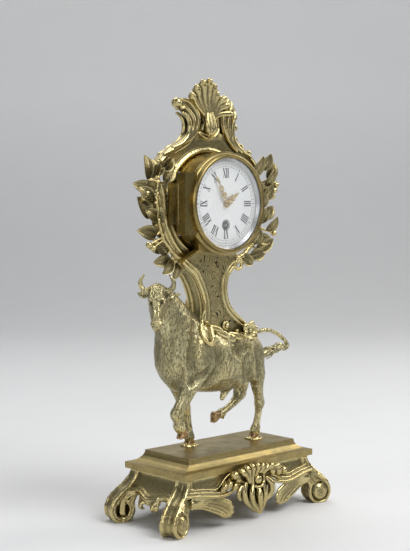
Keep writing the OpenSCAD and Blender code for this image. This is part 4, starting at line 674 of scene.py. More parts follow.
SKULL = [[0, -1.6, 101.6, 3, 2.2], [0, 0, 99.4, 4.6, 4], [0, 2.3, 95, 4.9, 5], [0, 4.9, 89.4, 3.8, 4.5],
         [0, 7.7, 84.2, 3, 3.7], [0, 9.2, 81.2, 3.2, 3.3], [0, 10, 79.6, 2.6, 2.4]]
POLL = [[-3.4, 0.4, 101, 1.9], [0, 0.6, 102.2, 2.2], [3.4, 0.4, 101, 1.9]]
MUZZLE = [[-1.6, 11, 81.6, 1.8], [1.6, 11, 81.6, 1.8]]
CHEEK = [[3.2, -1, 94, 2, 3.4], [2.9, 2.2, 88, 1.6, 2.6], [2.2, 6, 83, 1.2, 1.6]]
EYE_PIT = [[4.3, 5.6, 93.6, 1.3], [3.2, 7.4, 92.2, 0.8]]
BROW = [[1.2, 7.2, 95.4, 0.6], [3.6, 6.8, 95.4, 0.8], [5.1, 4.6, 94.8, 0.7]]
EYELID = [[3, 6.6, 91.8, 0.4], [4.9, 5, 92.3, 0.45]]
NOSE_BONE = [[1.3, 8, 92.4, 0.5], [1.1, 11, 86, 0.5]]
NOSTRIL = [[1.5, 12.8, 82.2, 0.5], [2.7, 12.4, 82.6, 0.6]]
MOUTH = [[0.01, 12.9, 79.9, 0.3], [1.9, 12.2, 79.8, 0.3], [3.4, 9.6, 80.6, 0.25]]
HORN = [[3.2, 0.2, 100.2, 2.2], [6, 0.2, 99.6, 2], [8.6, 0.4, 100.6, 1.7], [10, 0.8, 103, 1.45],
        [9.9, 1.2, 105.8, 1.15], [8.4, 1.6, 108.4, 0.75], [7.2, 1.8, 109.6, 0.35]]
EAR = [[4.4, -1, 97.6, 1, 0.9], [7, -2.2, 97, 1.1, 1.9], [9.8, -3.4, 97, 1, 2], [12.2, -4.2, 97.6, 0.6, 1],
       [13, -4.4, 98, 0.4, 0.4]]
EAR_HOLLOW = [[6.4, -0.9, 97, 0.7, 0.8], [9, -2.2, 97, 0.8, 1.3], [11.6, -3.4, 97.5, 0.5, 0.6]]
bull.rod(head_line(SKULL, k=3), 2, HEAD_SIDE)
bull.rod(head_line(POLL), 1.5)
bull.rod(head_line(MUZZLE), 1)
bull.ball(on_head(0, 9.4, 78.6), 1.9, 1)
for s in (-1, 1):
    bull.rod(head_line(CHEEK, s), 1.4, HEAD_SIDE)
    bull.rod(head_line(EYE_PIT, s), 1, carve=True)
    bull.ball(on_head(s * 4.1, 4.9, 93.6), 1.15, 0.2)
    bull.rod(head_line(BROW, s), 0.6)
    bull.rod(head_line(EYELID, s), 0.4)
    bull.rod(head_line(NOSE_BONE, s), 1)
    bull.rod(head_line(NOSTRIL, s), 0.5, carve=True)
    bull.rod(head_line(MOUTH, s), 0.3, carve=True)
    bull.rod(head_line(HORN, s, 4), 0.7)
    for k in range(3):
        out = 4.4 + 0.7 * k
        bull.rod(head_line([[out, 2.4, 100 - 0.1 * k, 0.3], [out, 2, 101.6, 0.3]], s), 0.3, carve=True)
    bull.rod(head_line(EAR, s, 3), 0.8, HEAD_FRONT)
    bull.rod(head_line(EAR_HOLLOW, s, 3), 0.3, HEAD_FRONT, carve=True)
for k in range(7):
    s = (k - 3) * 1.05
    lock = [on_head(s + 0.5 * math.sin(2.2 * t + k), 3.6 + 3.9 * t ** 0.6, 102.4 - 6.4 * t,
                    0.75 - 0.35 * t) for t in np.linspace(0, 1, 9)]
    bull.rod(lock, 0.3)
print("the muzzle is at", np.round(on_head(0, 11, 81.6), 1))

# %% [markdown]
# ## Legs down to the pastern, and the hide
# Knees, hocks and fetlocks are bony, so they get knobs and a tendon groove. The hide is chased
# with a small chisel after casting: long soft tufts are moved in the mesh itself, and the single
# hairs come from the finish.

# %% Bull: joints and hide
for x, y, z, r in ((-22.6, 10, 24.6, 3.2), (-18.4, 10, 5.8, 2.6), (-46.2, -9, 25.4, 3.2),
                   (-44, -9, 18, 2.7), (29.8, -5, 23.4, 2.9), (28.2, -2.9, 6.2, 2.7),
                   (25.6, 8.8, 28, 3.6), (8.4, 8, 17.6, 2.6)):
    bull.ball((x, y, z + PLINTH_TOP), r, 2)
for heel in ((-15.6, 10, 5.4), (-40.8, -9, 17.4), (30.4, -2.4, 5.6), (8.6, 8, 14.6)):
    for s in (-1, 1):
        bull.ball((heel[0], heel[1] + s, heel[2] + PLINTH_TOP), 0.85, 0.6)
for line in ([[-17.4, 10, 21], [-16.2, 10, 9]], [[31.8, -4, 19], [30.8, -3, 9]],
             [[-43.2, -9, 22.4], [-41.6, -9, 19]], [[19, 8, 20.6], [11, 8, 16.8]]):
    for s in (-1, 1):
        bull.rod([[x, y + s * 1.7, z + PLINTH_TOP, 0.5] for x, y, z in line], 1, carve=True)


def hide(points):
    """Tufts, strongest on the chest, the neck and the haunch, with a smooth belly patch."""
    x, y, z = points[:, 0], points[:, 1], points[:, 2] - PLINTH_TOP
    front = np.clip((-14 - x) / 14, 0, 1) * np.clip((z - 34) / 8, 0, 1)
    rear = np.clip((x - 4) / 12, 0, 1) * np.clip((z - 34) / 8, 0, 1)
    lean = np.stack([x + 0.45 * z, y, z - 0.3 * x], 1)
    tufts = grain(lean * (0.75, 0.75, 0.22)) - 0.5
    locks = grain(lean * (1.5, 1.5, 0.4) + 40) - 0.5
    return (tufts * 0.6 + locks * 0.4) * (0.12 + 0.5 * front + 0.25 * rear)


cast("bull", bull, coat, stands_for=("bull",), relief=hide, reach=2)

# %% [markdown]
# ## Hooves on rocky ground
# Each foot ends in two toes, and the gilding there has worn down to the copper of the bronze. The
# two standing feet are bolted through a little rock.

# %% Hooves
copper = gilding("worn_copper", (0.42, 0.29, 0.15), (0.09, 0.06, 0.035), 0.3)


def hoof(clay, at, tilt, leg):
    """Two toes that point along -X at tilt 0, seated under the end of a leg."""
    c, s = math.cos(math.radians(tilt)), math.sin(math.radians(tilt))

    def put(x, y, z, *halves):
        return [at[0] + x * c + z * s, at[1] + y, at[2] - x * s + z * c + PLINTH_TOP, *halves]

    for k in (-1, 1):
        toe = [put(-3, k * 1.2, 0.95, 0.75, 0.85), put(-1.4, k * 1.45, 1.7, 1.25, 1.6),
               put(0.6, k * 1.5, 2.1, 1.45, 2), put(2, k * 1.4, 1.9, 1.3, 1.7)]
        clay.rod(toe, 0.25)
        clay.rod([put(-0.6, k * 1.3, 3.5, 1.35, 1.3), put(0.8, k * 1.2, 4.4, 1.5, 1.4)], 0.8)
    clay.rod([put(-2.4, 0, 4, 0.28), put(-3, 0, 1, 0.28)], 0.3, carve=True)
    for k in range(2):
        ring = [put(2.4 * math.cos(a) - 0.2, 2.7 * math.sin(a), 2.6 + 0.7 * k, 0.14)
                for a in np.linspace(1.4, 4.9, 9)]
        clay.rod(ring, 0.2, carve=True)
    clay.rod([put(0.4, 0, 4, 2.2, 1.8), [leg[0], leg[1], leg[2] + PLINTH_TOP, 2.5, 2.5]], 0.8)


hooves = Clay([-48, -14, PLINTH_TOP], [36, 15, PLINTH_TOP + 20], 0.4)
LEG_ENDS = ((-18, 10, 0, 0, (-17.8, 10, 5.6)), (27, -2.4, 0, 0, (27.6, -2.6, 5.6)),
            (-40.6, -9, 10.6, -14, (-42.4, -9, 15.6)), (3.6, 8, 13.6, -32, (6.4, 8, 17)))
for x, y, z, tilt, leg in LEG_ENDS:
    hoof(hooves, (x, y, z), tilt, leg)
hooves.level(PLINTH_TOP + 0.35)
cast("bull_hooves", hooves, copper, reach=1.2)

rocks = Clay([-27, -10, PLINTH_TOP - 1], [36, 18, PLINTH_TOP + 4], 0.4)
for x, y in ((-18, 10), (27, -2.4)):
    rocks.rod([[x - 3.6, y, PLINTH_TOP, 4.2, 1.6], [x + 3, y, PLINTH_TOP, 4.6, 2]], 0.5)
rocks.level(PLINTH_TOP - 0.2)
cast("hoof_rocks", rocks, gilt, relief=lambda p: (grain(p * 0.7) - 0.5) * 1.1, reach=1.2)

# %% [markdown]
# ## The tail
# The tail swings out over the rump and its tuft folds back to the thigh. It is screwed on, so it
# is a piece of its own: one rod for the tail, and a bundle of thinner ones for the hair.

# %% Tail
TAIL = [[22, 0.6, 63, 2.2], [27, 0.8, 66.4, 1.9], [31.6, 1, 68, 1.6], [38, 1.4, 68.6, 1.45],
        [45, 1.6, 68.4, 1.35], [53, 1.4, 65.4, 1.3], [59.6, 1, 60.6, 1.3], [61.6, 0.6, 57, 1.5],
        [58, 0, 55.4, 1.6]]
TUFT = [[60, 0.4, 56.4, 1], [55, -0.4, 56.6, 1.9], [50, -1.4, 56.8, 2.6], [44, -2.4, 55.8, 3.3],
        [38, -3, 54.6, 3.7], [33, -3, 53.4, 3.1]]
tail = Clay([20, -10, PLINTH_TOP + 44], [67, 6, PLINTH_TOP + 74], 0.4)
tail.rod(smooth(lifted(TAIL), 4), 1)
core = smooth(lifted(TUFT), 5)
tail.rod(core * [1, 1, 1, 0.75], 1)
for k in range(11):
    turn, lock = 2.4 * k, []
    for i, (x, y, z, r) in enumerate(core):
        t = i / (len(core) - 1)
        a = turn + 1.5 * math.sin(5 * t + k)
        out = r * (0.25 + 0.75 * (k / 10) ** 0.5)
        lock.append([x + 3 * t * math.sin(3 * k), y + out * math.cos(a), z + out * math.sin(a),
                     0.7 - 0.45 * max(t - 0.6, 0) * 2.5])
    tail.rod(lock, 0.15)
cast("bull_tail", tail, coat, stands_for=("tail",), reach=1.2,
     relief=lambda p: (grain(p * (0.5, 1.4, 1.4)) - 0.5) * 0.35)

# %% [markdown]
# ## Drawing flat ornament in relief
# Scrolls, frames and leaves start as lines in an upright plane. Two distances describe them: to a
# closed outline, and to a line that swells and narrows. A bead, a groove or a hollow is then only
# a rule for how high the metal stands at each distance. A spiral gives the volutes.

# %% Flat distances
def outline_distance(outline, x, z):
    """Signed distance to a closed outline, negative inside it."""
    p = np.array(outline, float)
    best = np.full(np.broadcast(x, z).shape, 1e9)
    odd = np.zeros(best.shape, bool)
    for (ax, az), (bx, bz) in zip(p, np.roll(p, -1, 0)):
        ex, ez = bx - ax, bz - az
        t = np.clip(((x - ax) * ex + (z - az) * ez) / max(ex * ex + ez * ez, 1e-9), 0, 1)
        best = np.minimum(best, (x - ax - t * ex) ** 2 + (z - az - t * ez) ** 2)
        crosses = (az > z) != (bz > z)
        odd ^= crosses & (x < ax + (z - az) * ex / (ez if ez else 1e-9))
    return np.where(odd, -1, 1) * np.sqrt(best)


def line_distance(line, x, z):
    """Distance to a line, and its half width at the nearest place."""
    p = np.array(line, float)
    best, width = np.full(np.broadcast(x, z).shape, 1e9), 0
    for a, b in zip(p, p[1:]):
        ex, ez = b[0] - a[0], b[1] - a[1]
        t = np.clip(((x - a[0]) * ex + (z - a[1]) * ez) / max(ex * ex + ez * ez, 1e-9), 0, 1)
        d = np.hypot(x - a[0] - t * ex, z - a[1] - t * ez)
        w = a[2] + (b[2] - a[2]) * t if len(a) > 2 else 0
        width = np.where(d < best, w, width)
        best = np.minimum(best, d)
    return best, width


def bead(d, r):
    """A half-round of radius r about distance 0, from 1 on top to 0 at its edge."""
    return np.sqrt(np.clip(1 - (d / r) ** 2, 0, 1))


def polar(r, degrees):
    return np.array([r * math.cos(math.radians(degrees)), r * math.sin(math.radians(degrees))])


def spiral(mid, r0, r1, a0, a1, n, w0, w1):
    """A line that winds in from radius r0 to r1, with its half width."""
    return [[*(mid + polar(r0 + (r1 - r0) * t ** 0.85, a0 + (a1 - a0) * t)), w0 + (w1 - w0) * t]
            for t in np.linspace(0, 1, n)]


print("halfway out, a bead of radius 1 stands", round(float(bead(0.5, 1)), 3), "high")

# %% [markdown]
# ## The stand: aprons
# Four thin walls flare out from the neck in a hollow curve, and their lower edge is cut as an arch.
# On the front, three parallel mouldings leave the corner and swing up toward the middle, where they
# end in a scroll.

# %% Stand: aprons
NECK_HALF = np.array([52.5, 24.2])
APRON = smooth([[0, 0], [0.2, -2.6], [1, -5.2], [2.6, -8], [4.8, -10.8], [7.6, -13.6], [10.4, -16.2]], 3)
FRONT_ARCH = smooth([[0, 20], [12, 22], [19, 22.6], [25, 19.6], [33, 19], [42, 20.6], [52, 21.6]], 3)
END_ARCH = smooth([[0, 16.6], [4, 17.4], [8, 18.8], [13, 19.4], [18, 18.2], [24, 15.4]], 3)
WALL, ROOF = 2.2, 3.5


def flare(z):
    """How far the apron stands out from the neck at a height."""
    return np.interp(STAND_H - z, -APRON[:, 1], APRON[:, 0])


stand = Clay([-72.5, -41, -0.5], [72.5, 41, STAND_H + 0.5], 0.5)
cut, x, y, z = stand.whole()
qx, qy = np.abs(x) - NECK_HALF[0] - flare(z), np.abs(y) - NECK_HALF[1] - flare(z)
body = np.minimum(np.maximum(qx, qy), 0) + np.hypot(np.maximum(qx, 0), np.maximum(qy, 0))
body = body * 0.8                     # the flare makes it overstate a distance
wall = np.maximum(body, -(body + WALL))
arch = np.where(qy > qx, np.interp(np.abs(x), FRONT_ARCH[:, 0], FRONT_ARCH[:, 1]),
                np.interp(np.abs(y), END_ARCH[:, 0], END_ARCH[:, 1]))
roof = np.maximum(body, STAND_H - ROOF - z)
shell = np.maximum(np.minimum(np.maximum(wall, (arch - z) * 0.85), roof), z - STAND_H)
stand.f[cut] = shell


def on_front(sx, sy, px, pz, r, proud=0.2):
    """A point on the front or back apron, with a radius."""
    return [sx * px, sy * (NECK_HALF[1] + flare(pz) + proud), pz, r]


def on_end(sx, py, pz, r):
    """A point on the apron of one end, with a radius."""
    return [sx * (NECK_HALF[0] + flare(pz) + 0.2), py, pz, r]


SWEEPS = (
    [(54, 25.4, 0.8), (47, 24.9, 0.9), (39, 24, 0.95), (32.6, 22.9, 1.0), (27.4, 24, 1.1),
     (23, 26.6, 1.2), (19.4, 28.8, 1.3), (16.4, 30.2, 1.4)],
    [(55, 23.8, 0.8), (47, 23.2, 0.9), (39, 22.2, 1.0), (31.4, 21, 1.1), (25.4, 21.6, 1.3),
     (20.6, 23.8, 1.5), (16.6, 26, 1.6), (13.4, 27.6, 1.5)],
    [(56, 22.2, 0.7), (47, 21.6, 0.8), (39, 20.4, 0.9), (30, 19.3, 1.0), (23, 19.8, 1.1),
     (17.6, 21.2, 1.2), (13, 23, 1.2)])
for sy in (-1, 1):
    for sx in (-1, 1):
        for sweep_line in SWEEPS:
            stand.rod([on_front(sx, sy, *q) for q in smooth(sweep_line, 4)], 0.5)
        groove = [on_front(sx, sy, px, pz + 1.5, 0.45, 0.3) for px, pz, r in smooth(SWEEPS[0], 4)]
        stand.rod(groove[3:], 0.8, carve=True)
for sx in (-1, 1):
    for above, r in ((0.6, 0.8), (2.1, 0.5)):
        stand.rod([on_end(sx, py, pz + above, r) for py, pz in
                   [*END_ARCH[::-1] * [-1, 1], *END_ARCH[1:]]], 0.5)
print("stand grid:", stand.f.shape)

# %% [markdown]
# ## The stand: scroll feet
# Each corner runs down as a pilaster with rolled edges and curls under into a volute. It is drawn
# from the side, in a plane that is turned out from the corner: u runs outward and v across the
# band. A domed boss with a spiral sits inside the curl, and the casting is open toward the end.

# %% Stand: feet
FOOT_AT, FOOT_SPLAY, FOOT_R = (53, 22), 18, 7.9
FOOT_MID = np.array([9.4, 7.55])
BAND_HALF, BAND_SPREAD = 4.6, 1.1     # the band widens by the second toward the floor
BOSS_R = 5.4
leg_line = smooth([[0, STAND_H], [0.3, 29], [2.2, 25.8], [5.8, 22.2], [10.3, 18.8], [14.9, 13.6]], 4)
leg = [*leg_line.tolist(), FOOT_MID, [2.5, 11.5], [0.3, 15], [-3.6, 22.6], [-4, STAND_H]]
curl_line = spiral(FOOT_MID, FOOT_R - 2, 1.4, 60, -520, 44, 0.85, 0.6)
for sx in (-1, 1):
    for sy in (-1, 1):
        heading = math.radians(sy * FOOT_SPLAY if sx > 0 else 180 - sy * FOOT_SPLAY)
        ca, sa = math.cos(heading), math.sin(heading)
        corner = np.array([sx * FOOT_AT[0], sy * FOOT_AT[1]])
        tip = corner + np.array([ca, sa]) * 18
        low, high = np.minimum(corner, tip) - 8, np.maximum(corner, tip) + 8
        cut, x, y, z = stand.window([*low, -1], [*high, STAND_H + 1])
        u = (x - corner[0]) * ca + (y - corner[1]) * sa + 0 * z
        v = (-(x - corner[0]) * sa + (y - corner[1]) * ca + 0 * z) * (-sy * np.sign(ca))
        around = np.hypot(u - FOOT_MID[0], z - FOOT_MID[1])
        side = outline_distance(leg, u, z)
        # The volute's disc melts into the leg above it
        h = np.maximum(2.4 - np.abs(side - around + FOOT_R), 0) / 2.4
        side = np.minimum(side, around - FOOT_R) - h * h * 0.6
        half = BAND_HALF + BAND_SPREAD * np.clip((STAND_H - z) / STAND_H, 0, 1)
        # The band's face: a broad flute with a rib along its middle, between rolled edges
        across = np.abs(v)
        flute = (0.8 * np.clip(1 - (across / (half * 0.62)) ** 2, 0, 1)
                 - 0.5 * bead(across - half * 0.84, half * 0.2) - 0.35 * bead(across, 0.7))
        # The flank: two beads along the outline, a groove round the boss, and the spiral on it
        far, width = line_distance(curl_line, u, z)
        face = half - 0.2 + 0.55 * bead(side + 0.8, 0.9) + 0.45 * bead(side + 2.6, 0.7)
        face = face - 1.2 * bead(around - BOSS_R - 0.2, 0.8) * (side < -1)
        dome = half - 0.9 + 1.9 * bead(around, BOSS_R)
        face = np.where(around < BOSS_R, dome, face) + 0.4 * bead(far, width)
        # The other flank is plainer, and the leg behind the band is hollow
        ledges = half + 0.5 * bead(side + 1.0, 0.8) + 0.4 * bead(side + 2.6, 0.6)
        foot = np.maximum(side + flute, np.where(v > 0, v - ledges, -v - face))
        pocket = np.maximum(np.maximum(side + 3.4, -(v + half - 2.4)), z - 20)
        foot = np.maximum(np.maximum(foot, -pocket), np.maximum(-z, z - STAND_H))
        stand.join(cut, foot, 1.0)
print("metal cells with feet:", int((stand.f < 0).sum()))

# %% [markdown]
# ## The stand: acanthus
# A long plume leaves each volute and droops toward the middle. A chaser sees it as a bundle of
# strands that start close together and spread, so each strand is one rod. The ends carry two
# fluted curls that hang side by side.

# %% Stand: acanthus
STRANDS = (((51, 15), (44, 14.6), (36.4, 11.8), (30, 9), (27.6, 7.4)),
           ((51, 16.2), (43.4, 15.8), (34.6, 13.2), (27.6, 9.4), (25, 6.6)),
           ((51, 17.2), (43, 16.9), (33.6, 14.6), (25.6, 10.6), (22, 6.4)),
           ((51, 18.2), (43, 18.1), (33, 16.2), (24.6, 12.6), (19.8, 8)),
           ((51, 19.2), (43, 19.3), (33, 17.7), (25, 14.8), (19.4, 11)),
           ((51, 20), (43, 20.2), (34, 19), (26.6, 16.8), (21, 13.8)))
LEAF_BACK = smooth([[51, 17.4, 2], [43, 17.4, 2.4], [34, 15.2, 3.4], [26, 11.8, 3.6], [23, 9.8, 2.6]], 4)
LEAF_Y = NECK_HALF[1] + 5
for sy in (-1, 1):
    for sx in (-1, 1):
        stand.rod([[sx * px, sy * (LEAF_Y - 0.8), pz, w, 0.9] for px, pz, w in LEAF_BACK], 0.8, (0, 0, 1))
        for k, strand in enumerate(STRANDS):
            rods = []
            for t, (px, pz) in zip(np.linspace(0, 1, 13), smooth(strand, 3)):
                bulge = 1.7 * math.sin(math.pi * t ** 1.5) + 1.2 * max(t - 0.8, 0) * 5
                rods.append([sx * px, sy * (LEAF_Y + bulge * (1 - 0.12 * k) - 1.4 * (1 - t)), pz,
                             0.7 + 0.75 * t ** 1.3, 0.75 + 0.3 * t])
            stand.rod(rods, 0.25, (0, 0, 1))
for sx in (-1, 1):
    x0 = NECK_HALF[0] + 8.2
    stand.rod([[sx * (x0 - 1.6), -7.6, 17, 2.4, 1.6], [sx * (x0 - 0.6), 0, 15.4, 2, 1.6],
               [sx * (x0 - 1.6), 7.6, 17, 2.4, 1.6]], 1, (0, 0, 1))
    for sy in (-1, 1):
        for k in range(5):
            turn = spiral(np.array([5.3, 13.4]), 4.2 - 0.78 * k, 2.6 - 0.5 * k, 150, -110, 12, 0.75, 0.6)
            stand.rod([[sx * (x0 + 0.5 * k - 0.6), sy * a, b, w] for a, b, w in turn], 0.25)
        stand.ball((sx * (x0 + 1.2), sy * 5.3, 12.6), 1.5, 0.5)
        for k in range(4):
            frill = [(6 + 0.4 * k, 16.6 + 0.55 * k), (11 + 0.2 * k, 18 + 0.5 * k),
                     (16.4 + 0.3 * k, 16.8 + 0.6 * k), (20.2 + 0.5 * k, 13.2 + 0.6 * k),
                     (22 + 0.5 * k, 8.4 + 0.3 * k), (22 + 0.5 * k, 4)]
            stand.rod([[sx * (NECK_HALF[0] + flare(pz) - 2.4 + 0.7 * k), sy * py, pz, 0.6]
                       for py, pz in smooth(frill, 3)], 0.3)
cast("scroll_stand", stand, gilt, slot="old_gilt", stands_for=("stand",), reach=2,
     relief=lambda p: (grain(p * 0.9) - 0.5) * 0.12)

# %% [markdown]
# ## The shell on the front apron
# A fan of ribs rises over a ball in a hollow. Below it a fleshy leaf swells and narrows to the
# floor, between side lobes. It is the liveliest piece of the stand, with thick shadows.

# %% Apron shell
SHELL_Y = -NECK_HALF[1] - 5.4
shell_leaf = Clay([-30, -38, 0.5], [31, -20, 38], 0.4)


def ridge(clay, line, blend=0.4, k=4, carve=False):
    """A cord through points [x, forward of the shell's ground, z, r]."""
    clay.rod([[q[0], SHELL_Y - q[1], q[2], q[3]] for q in smooth(line, k)], blend, carve=carve)


ground = [[0, SHELL_Y + 1.6, 31, 13, 1.6], [0, SHELL_Y + 1.2, 25, 13, 2], [0.6, SHELL_Y + 1.2, 17, 11.4, 2],
          [1.6, SHELL_Y + 1.4, 10, 7, 1.8], [3, SHELL_Y + 1.4, 5.4, 3, 1.5]]
shell_leaf.rod(smooth(ground, 3), 1, (1, 0, 0))
for a, b, fore in ((-13.6, 32.6, 1.6), (-9.8, 34.2, 2), (-5.6, 35, 2.2), (-1, 35, 2.4), (3.6, 34.4, 2.2),
                   (8, 33, 2)):
    ridge(shell_leaf, [[a * 0.3 - 1.6, 1.2, 23.4, 0.7], [a * 0.62 - 0.8, 2.2, 28.4, 1.25],
                       [a * 0.9, fore + 1.2, b - 1.8, 1.75], [a, fore, b, 1.35]], 0.3)
for a, b, r in ((-18.6, 30.4, 2.6), (13.4, 31.6, 2.2), (19, 30.6, 2), (-15.6, 27.2, 1.8)):
    ridge(shell_leaf, [[a * 0.7, -0.4, b - 2, r * 0.7], [a, 1.2, b, r]], 0.6, 2)
for a, b, c, d, r in ((14, 31, 15, 26, 2.2), (19.4, 30.4, 20.6, 25.6, 2.4), (24.6, 28.6, 26, 25.4, 2),
                      (-20.6, 27.4, -23.6, 23.2, 1.9), (-16.8, 25.6, -18.4, 21.4, 1.9),
                      (-24.4, 26.6, -28, 22.4, 1.5)):
    ridge(shell_leaf, [[a, -1.2, b, r * 0.6], [(a + c) / 2, 0.8, (b + d) / 2, r], [c, 0, d, r * 0.7]], 0.4)
shell_leaf.ball((1.6, SHELL_Y - 2, 25), 4.3, 0.5, carve=True)
shell_leaf.ball((1.6, SHELL_Y - 0.2, 24.8), 3.3, 0.2)
ridge(shell_leaf, [[-3.6, 1.6, 25.6, 0.8], [-2.6, 2.2, 21.6, 0.9], [1.8, 2.6, 20.2, 0.9],
                   [5.8, 2.2, 22.6, 0.9], [6.2, 1.6, 26.8, 0.8]], 0.3)
FLESH = (([-8.6, 0.4, 23.4, 1.6], [-10.6, 1.2, 18.4, 2], [-8.8, 1.2, 13.4, 2], [-4, 0.8, 9, 1.5],
          [1, 0.4, 5, 0.9]),
         ([-3.8, 1.8, 21.4, 1.4], [-5.6, 3, 16.6, 1.9], [-4.2, 2.8, 12, 1.8], [0, 2, 7.4, 1.3],
          [2.4, 1.4, 4, 0.8]),
         ([1, 2.2, 20, 1.3], [0.4, 3.8, 15.6, 2.1], [1.6, 3.2, 10, 1.9], [3.4, 2, 4.4, 1]),
         ([5.4, 2, 22.4, 1.2], [6, 3, 16.6, 1.7], [5.8, 2.6, 11, 1.5], [4.2, 1.6, 4.6, 0.9]),
         ([9.6, 0.8, 24.4, 1.5], [13.2, 1.8, 19.8, 2.3], [12.2, 1.6, 14.4, 2.1], [8.4, 0.8, 10.6, 1.1]),
         ([-11.6, 0, 22, 1.3], [-14.6, 0.4, 18.4, 1.6], [-12.6, 0, 14.4, 1.1]))
for line in FLESH:
    ridge(shell_leaf, line, 0.5)
for line in ([[-4.4, 4.9, 20, 0.3], [-4.4, 4.7, 14, 0.35], [-1.4, 3.8, 9, 0.3]],
             [[0.8, 5.9, 18.4, 0.35], [1.4, 5.4, 12, 0.4], [3, 3.8, 6.6, 0.3]],
             [[11.4, 4, 21, 0.3], [12.8, 4, 16.6, 0.35], [10.6, 2.9, 12.4, 0.3]]):
    ridge(shell_leaf, line, 0.6, carve=True)
cast("apron_shell", shell_leaf, gilt, slot="old_gilt", stands_for=("apron_shell",), reach=1.6)

# %% [markdown]
# ## The pedestal
# A flat console carries the clock on the bull's back. Its outline is drawn in the plane of the
# dial. Double beads follow both edges, the panel between them is sunk, and the thick flanks are
# hollowed between two rolls. Two straps hang from the left edge, a hook and a stem. They lie on the
# panel first and then on the coat, so each of their points asks the clay which stands further out.

# %% Pedestal
PED_MID, PED_HALF = -0.5, 7.5         # the middle of its thickness, and half of it
PED_AT = np.array([CASE[0], 0, BACK_Z])
LEFT_EDGE = smooth([[-27, 45], [-22, 41], [-16.5, 36.4], [-12.4, 29.6], [-9.6, 22.2], [-8.8, 15],
                    [-9.8, 10]], 3)
RIGHT_EDGE = smooth([[24, -6], [31, -5.6], [34, -1.6], [29.4, 4.6], [23.8, 9], [18.4, 13.2],
                     [13.4, 18.4], [10.8, 25.4], [11.2, 33], [14.6, 38.6], [20, 43]], 3)
PED_OUTLINE = [*LEFT_EDGE, [-6.4, 5.6], [0, 4], [6, 1], [12, -4.4], [17.6, -3], *RIGHT_EDGE, [23, 47],
               [18, 51], [12, 54], [-12, 54], [-18, 51], [-24, 48]]
pedestal = Clay([-44, -18.5, BACK_Z - 9], [25, 17.5, BACK_Z + 57], 0.5)
cut, u, w, y = pedestal.upright(PED_AT[0], PED_AT[2])
side = outline_distance(PED_OUTLINE, u, w)
edge = np.minimum(line_distance(LEFT_EDGE, u, w)[0], line_distance(RIGHT_EDGE, u, w)[0])
depth = np.abs(y - PED_MID)
flank = (1.3 * bead(np.abs(depth - 0.2), 3.4) + 0.5 * bead(np.abs(depth - 5.1), 0.9)
         - 0.35 * bead(np.abs(depth - 4.0), 0.8))
face = PED_HALF + 0.9 * bead(edge - 1.3, 1.15) + 0.7 * bead(edge - 3.7, 0.85) \
    - 0.5 * np.clip((edge - 4.6) / 0.6, 0, 1)
pedestal.f[cut] = np.maximum(side + flank, depth - face)
HOOK = smooth([[-9.2, 17, 0.7], [-11.6, 10, 1.1], [-14.6, 7, 1.2], [-16.4, 3, 1.3], [-15, -1.4, 1.3],
               [-11.4, -4, 1.2], [-7, -3.6, 1.1], [-4, -1, 0.8]], 4)
STEM = smooth([[-9.2, 21, 0.7], [-8.8, 15, 1.1], [-8.8, 10, 1.5], [-8.6, 4, 1.7], [-9.4, -1, 1.8],
               [-10.6, -2.6, 1.2]], 4)


def draped(a, b, way, lift):
    """A point on the panel or, where the bull stands out further, on the bull's coat."""
    x, z = PED_AT[0] + a, BACK_Z + b
    y = max(way * bull.front_of(x, z, way), way * PED_MID + PED_HALF) + lift
    return [x, way * y, z]


for way in (-1, 1):
    for strip, lift in ((HOOK, 0.6), (STEM, 0.9)):
        pedestal.rod([[*draped(a, b, way, lift), r] for a, b, r in strip], 0.3)
    # Three pads close the gap between the hook and the coat
    for a, b in ((-13, 2.4), (-12, -0.8), (-12.4, 5)):
        pedestal.rod([[*draped(a, b, way, -0.4), 2.4]] * 2, 0.5)
print("pedestal grid:", pedestal.f.shape)

# %% [markdown]
# ## Ornament on the pedestal
# A volute closes the upper right corner. Below, leaves run down to the right between a ringed bud
# and a ball, and a six-petalled flower ends them. The panel's scrolling lines are too fine to
# model. The chaser draws them with a graver, and here the finish does, on the flat vertices.

# %% Pedestal: ornament
def petal(clay, root, tip, width, facing, lift, thick, blend=0.45):
    """A dished petal from root to tip, with a vein. facing points out of its face."""
    root, tip, out = (np.array(v, float) for v in (root, tip, facing))
    across = unit(np.cross(tip - root, out))
    stations, groove = [], []
    for t in np.linspace(0, 1, 7):
        at = root + (tip - root) * t + out * lift * (math.sin(math.pi * t * 0.8) + 0.35 * t ** 3)
        w = width * (0.35 + 0.65 * math.sin(math.pi * min(t * 0.62 + 0.12, 0.9)))
        stations.append([*at, w * (1 if t < 0.95 else 0.72), thick])
        groove.append([*(at + out * (thick + 0.15)), 0.42 * (1 - 0.5 * t)])
    clay.rod(stations, blend, across)
    clay.rod(groove[:-1], 0.5, across, carve=True)


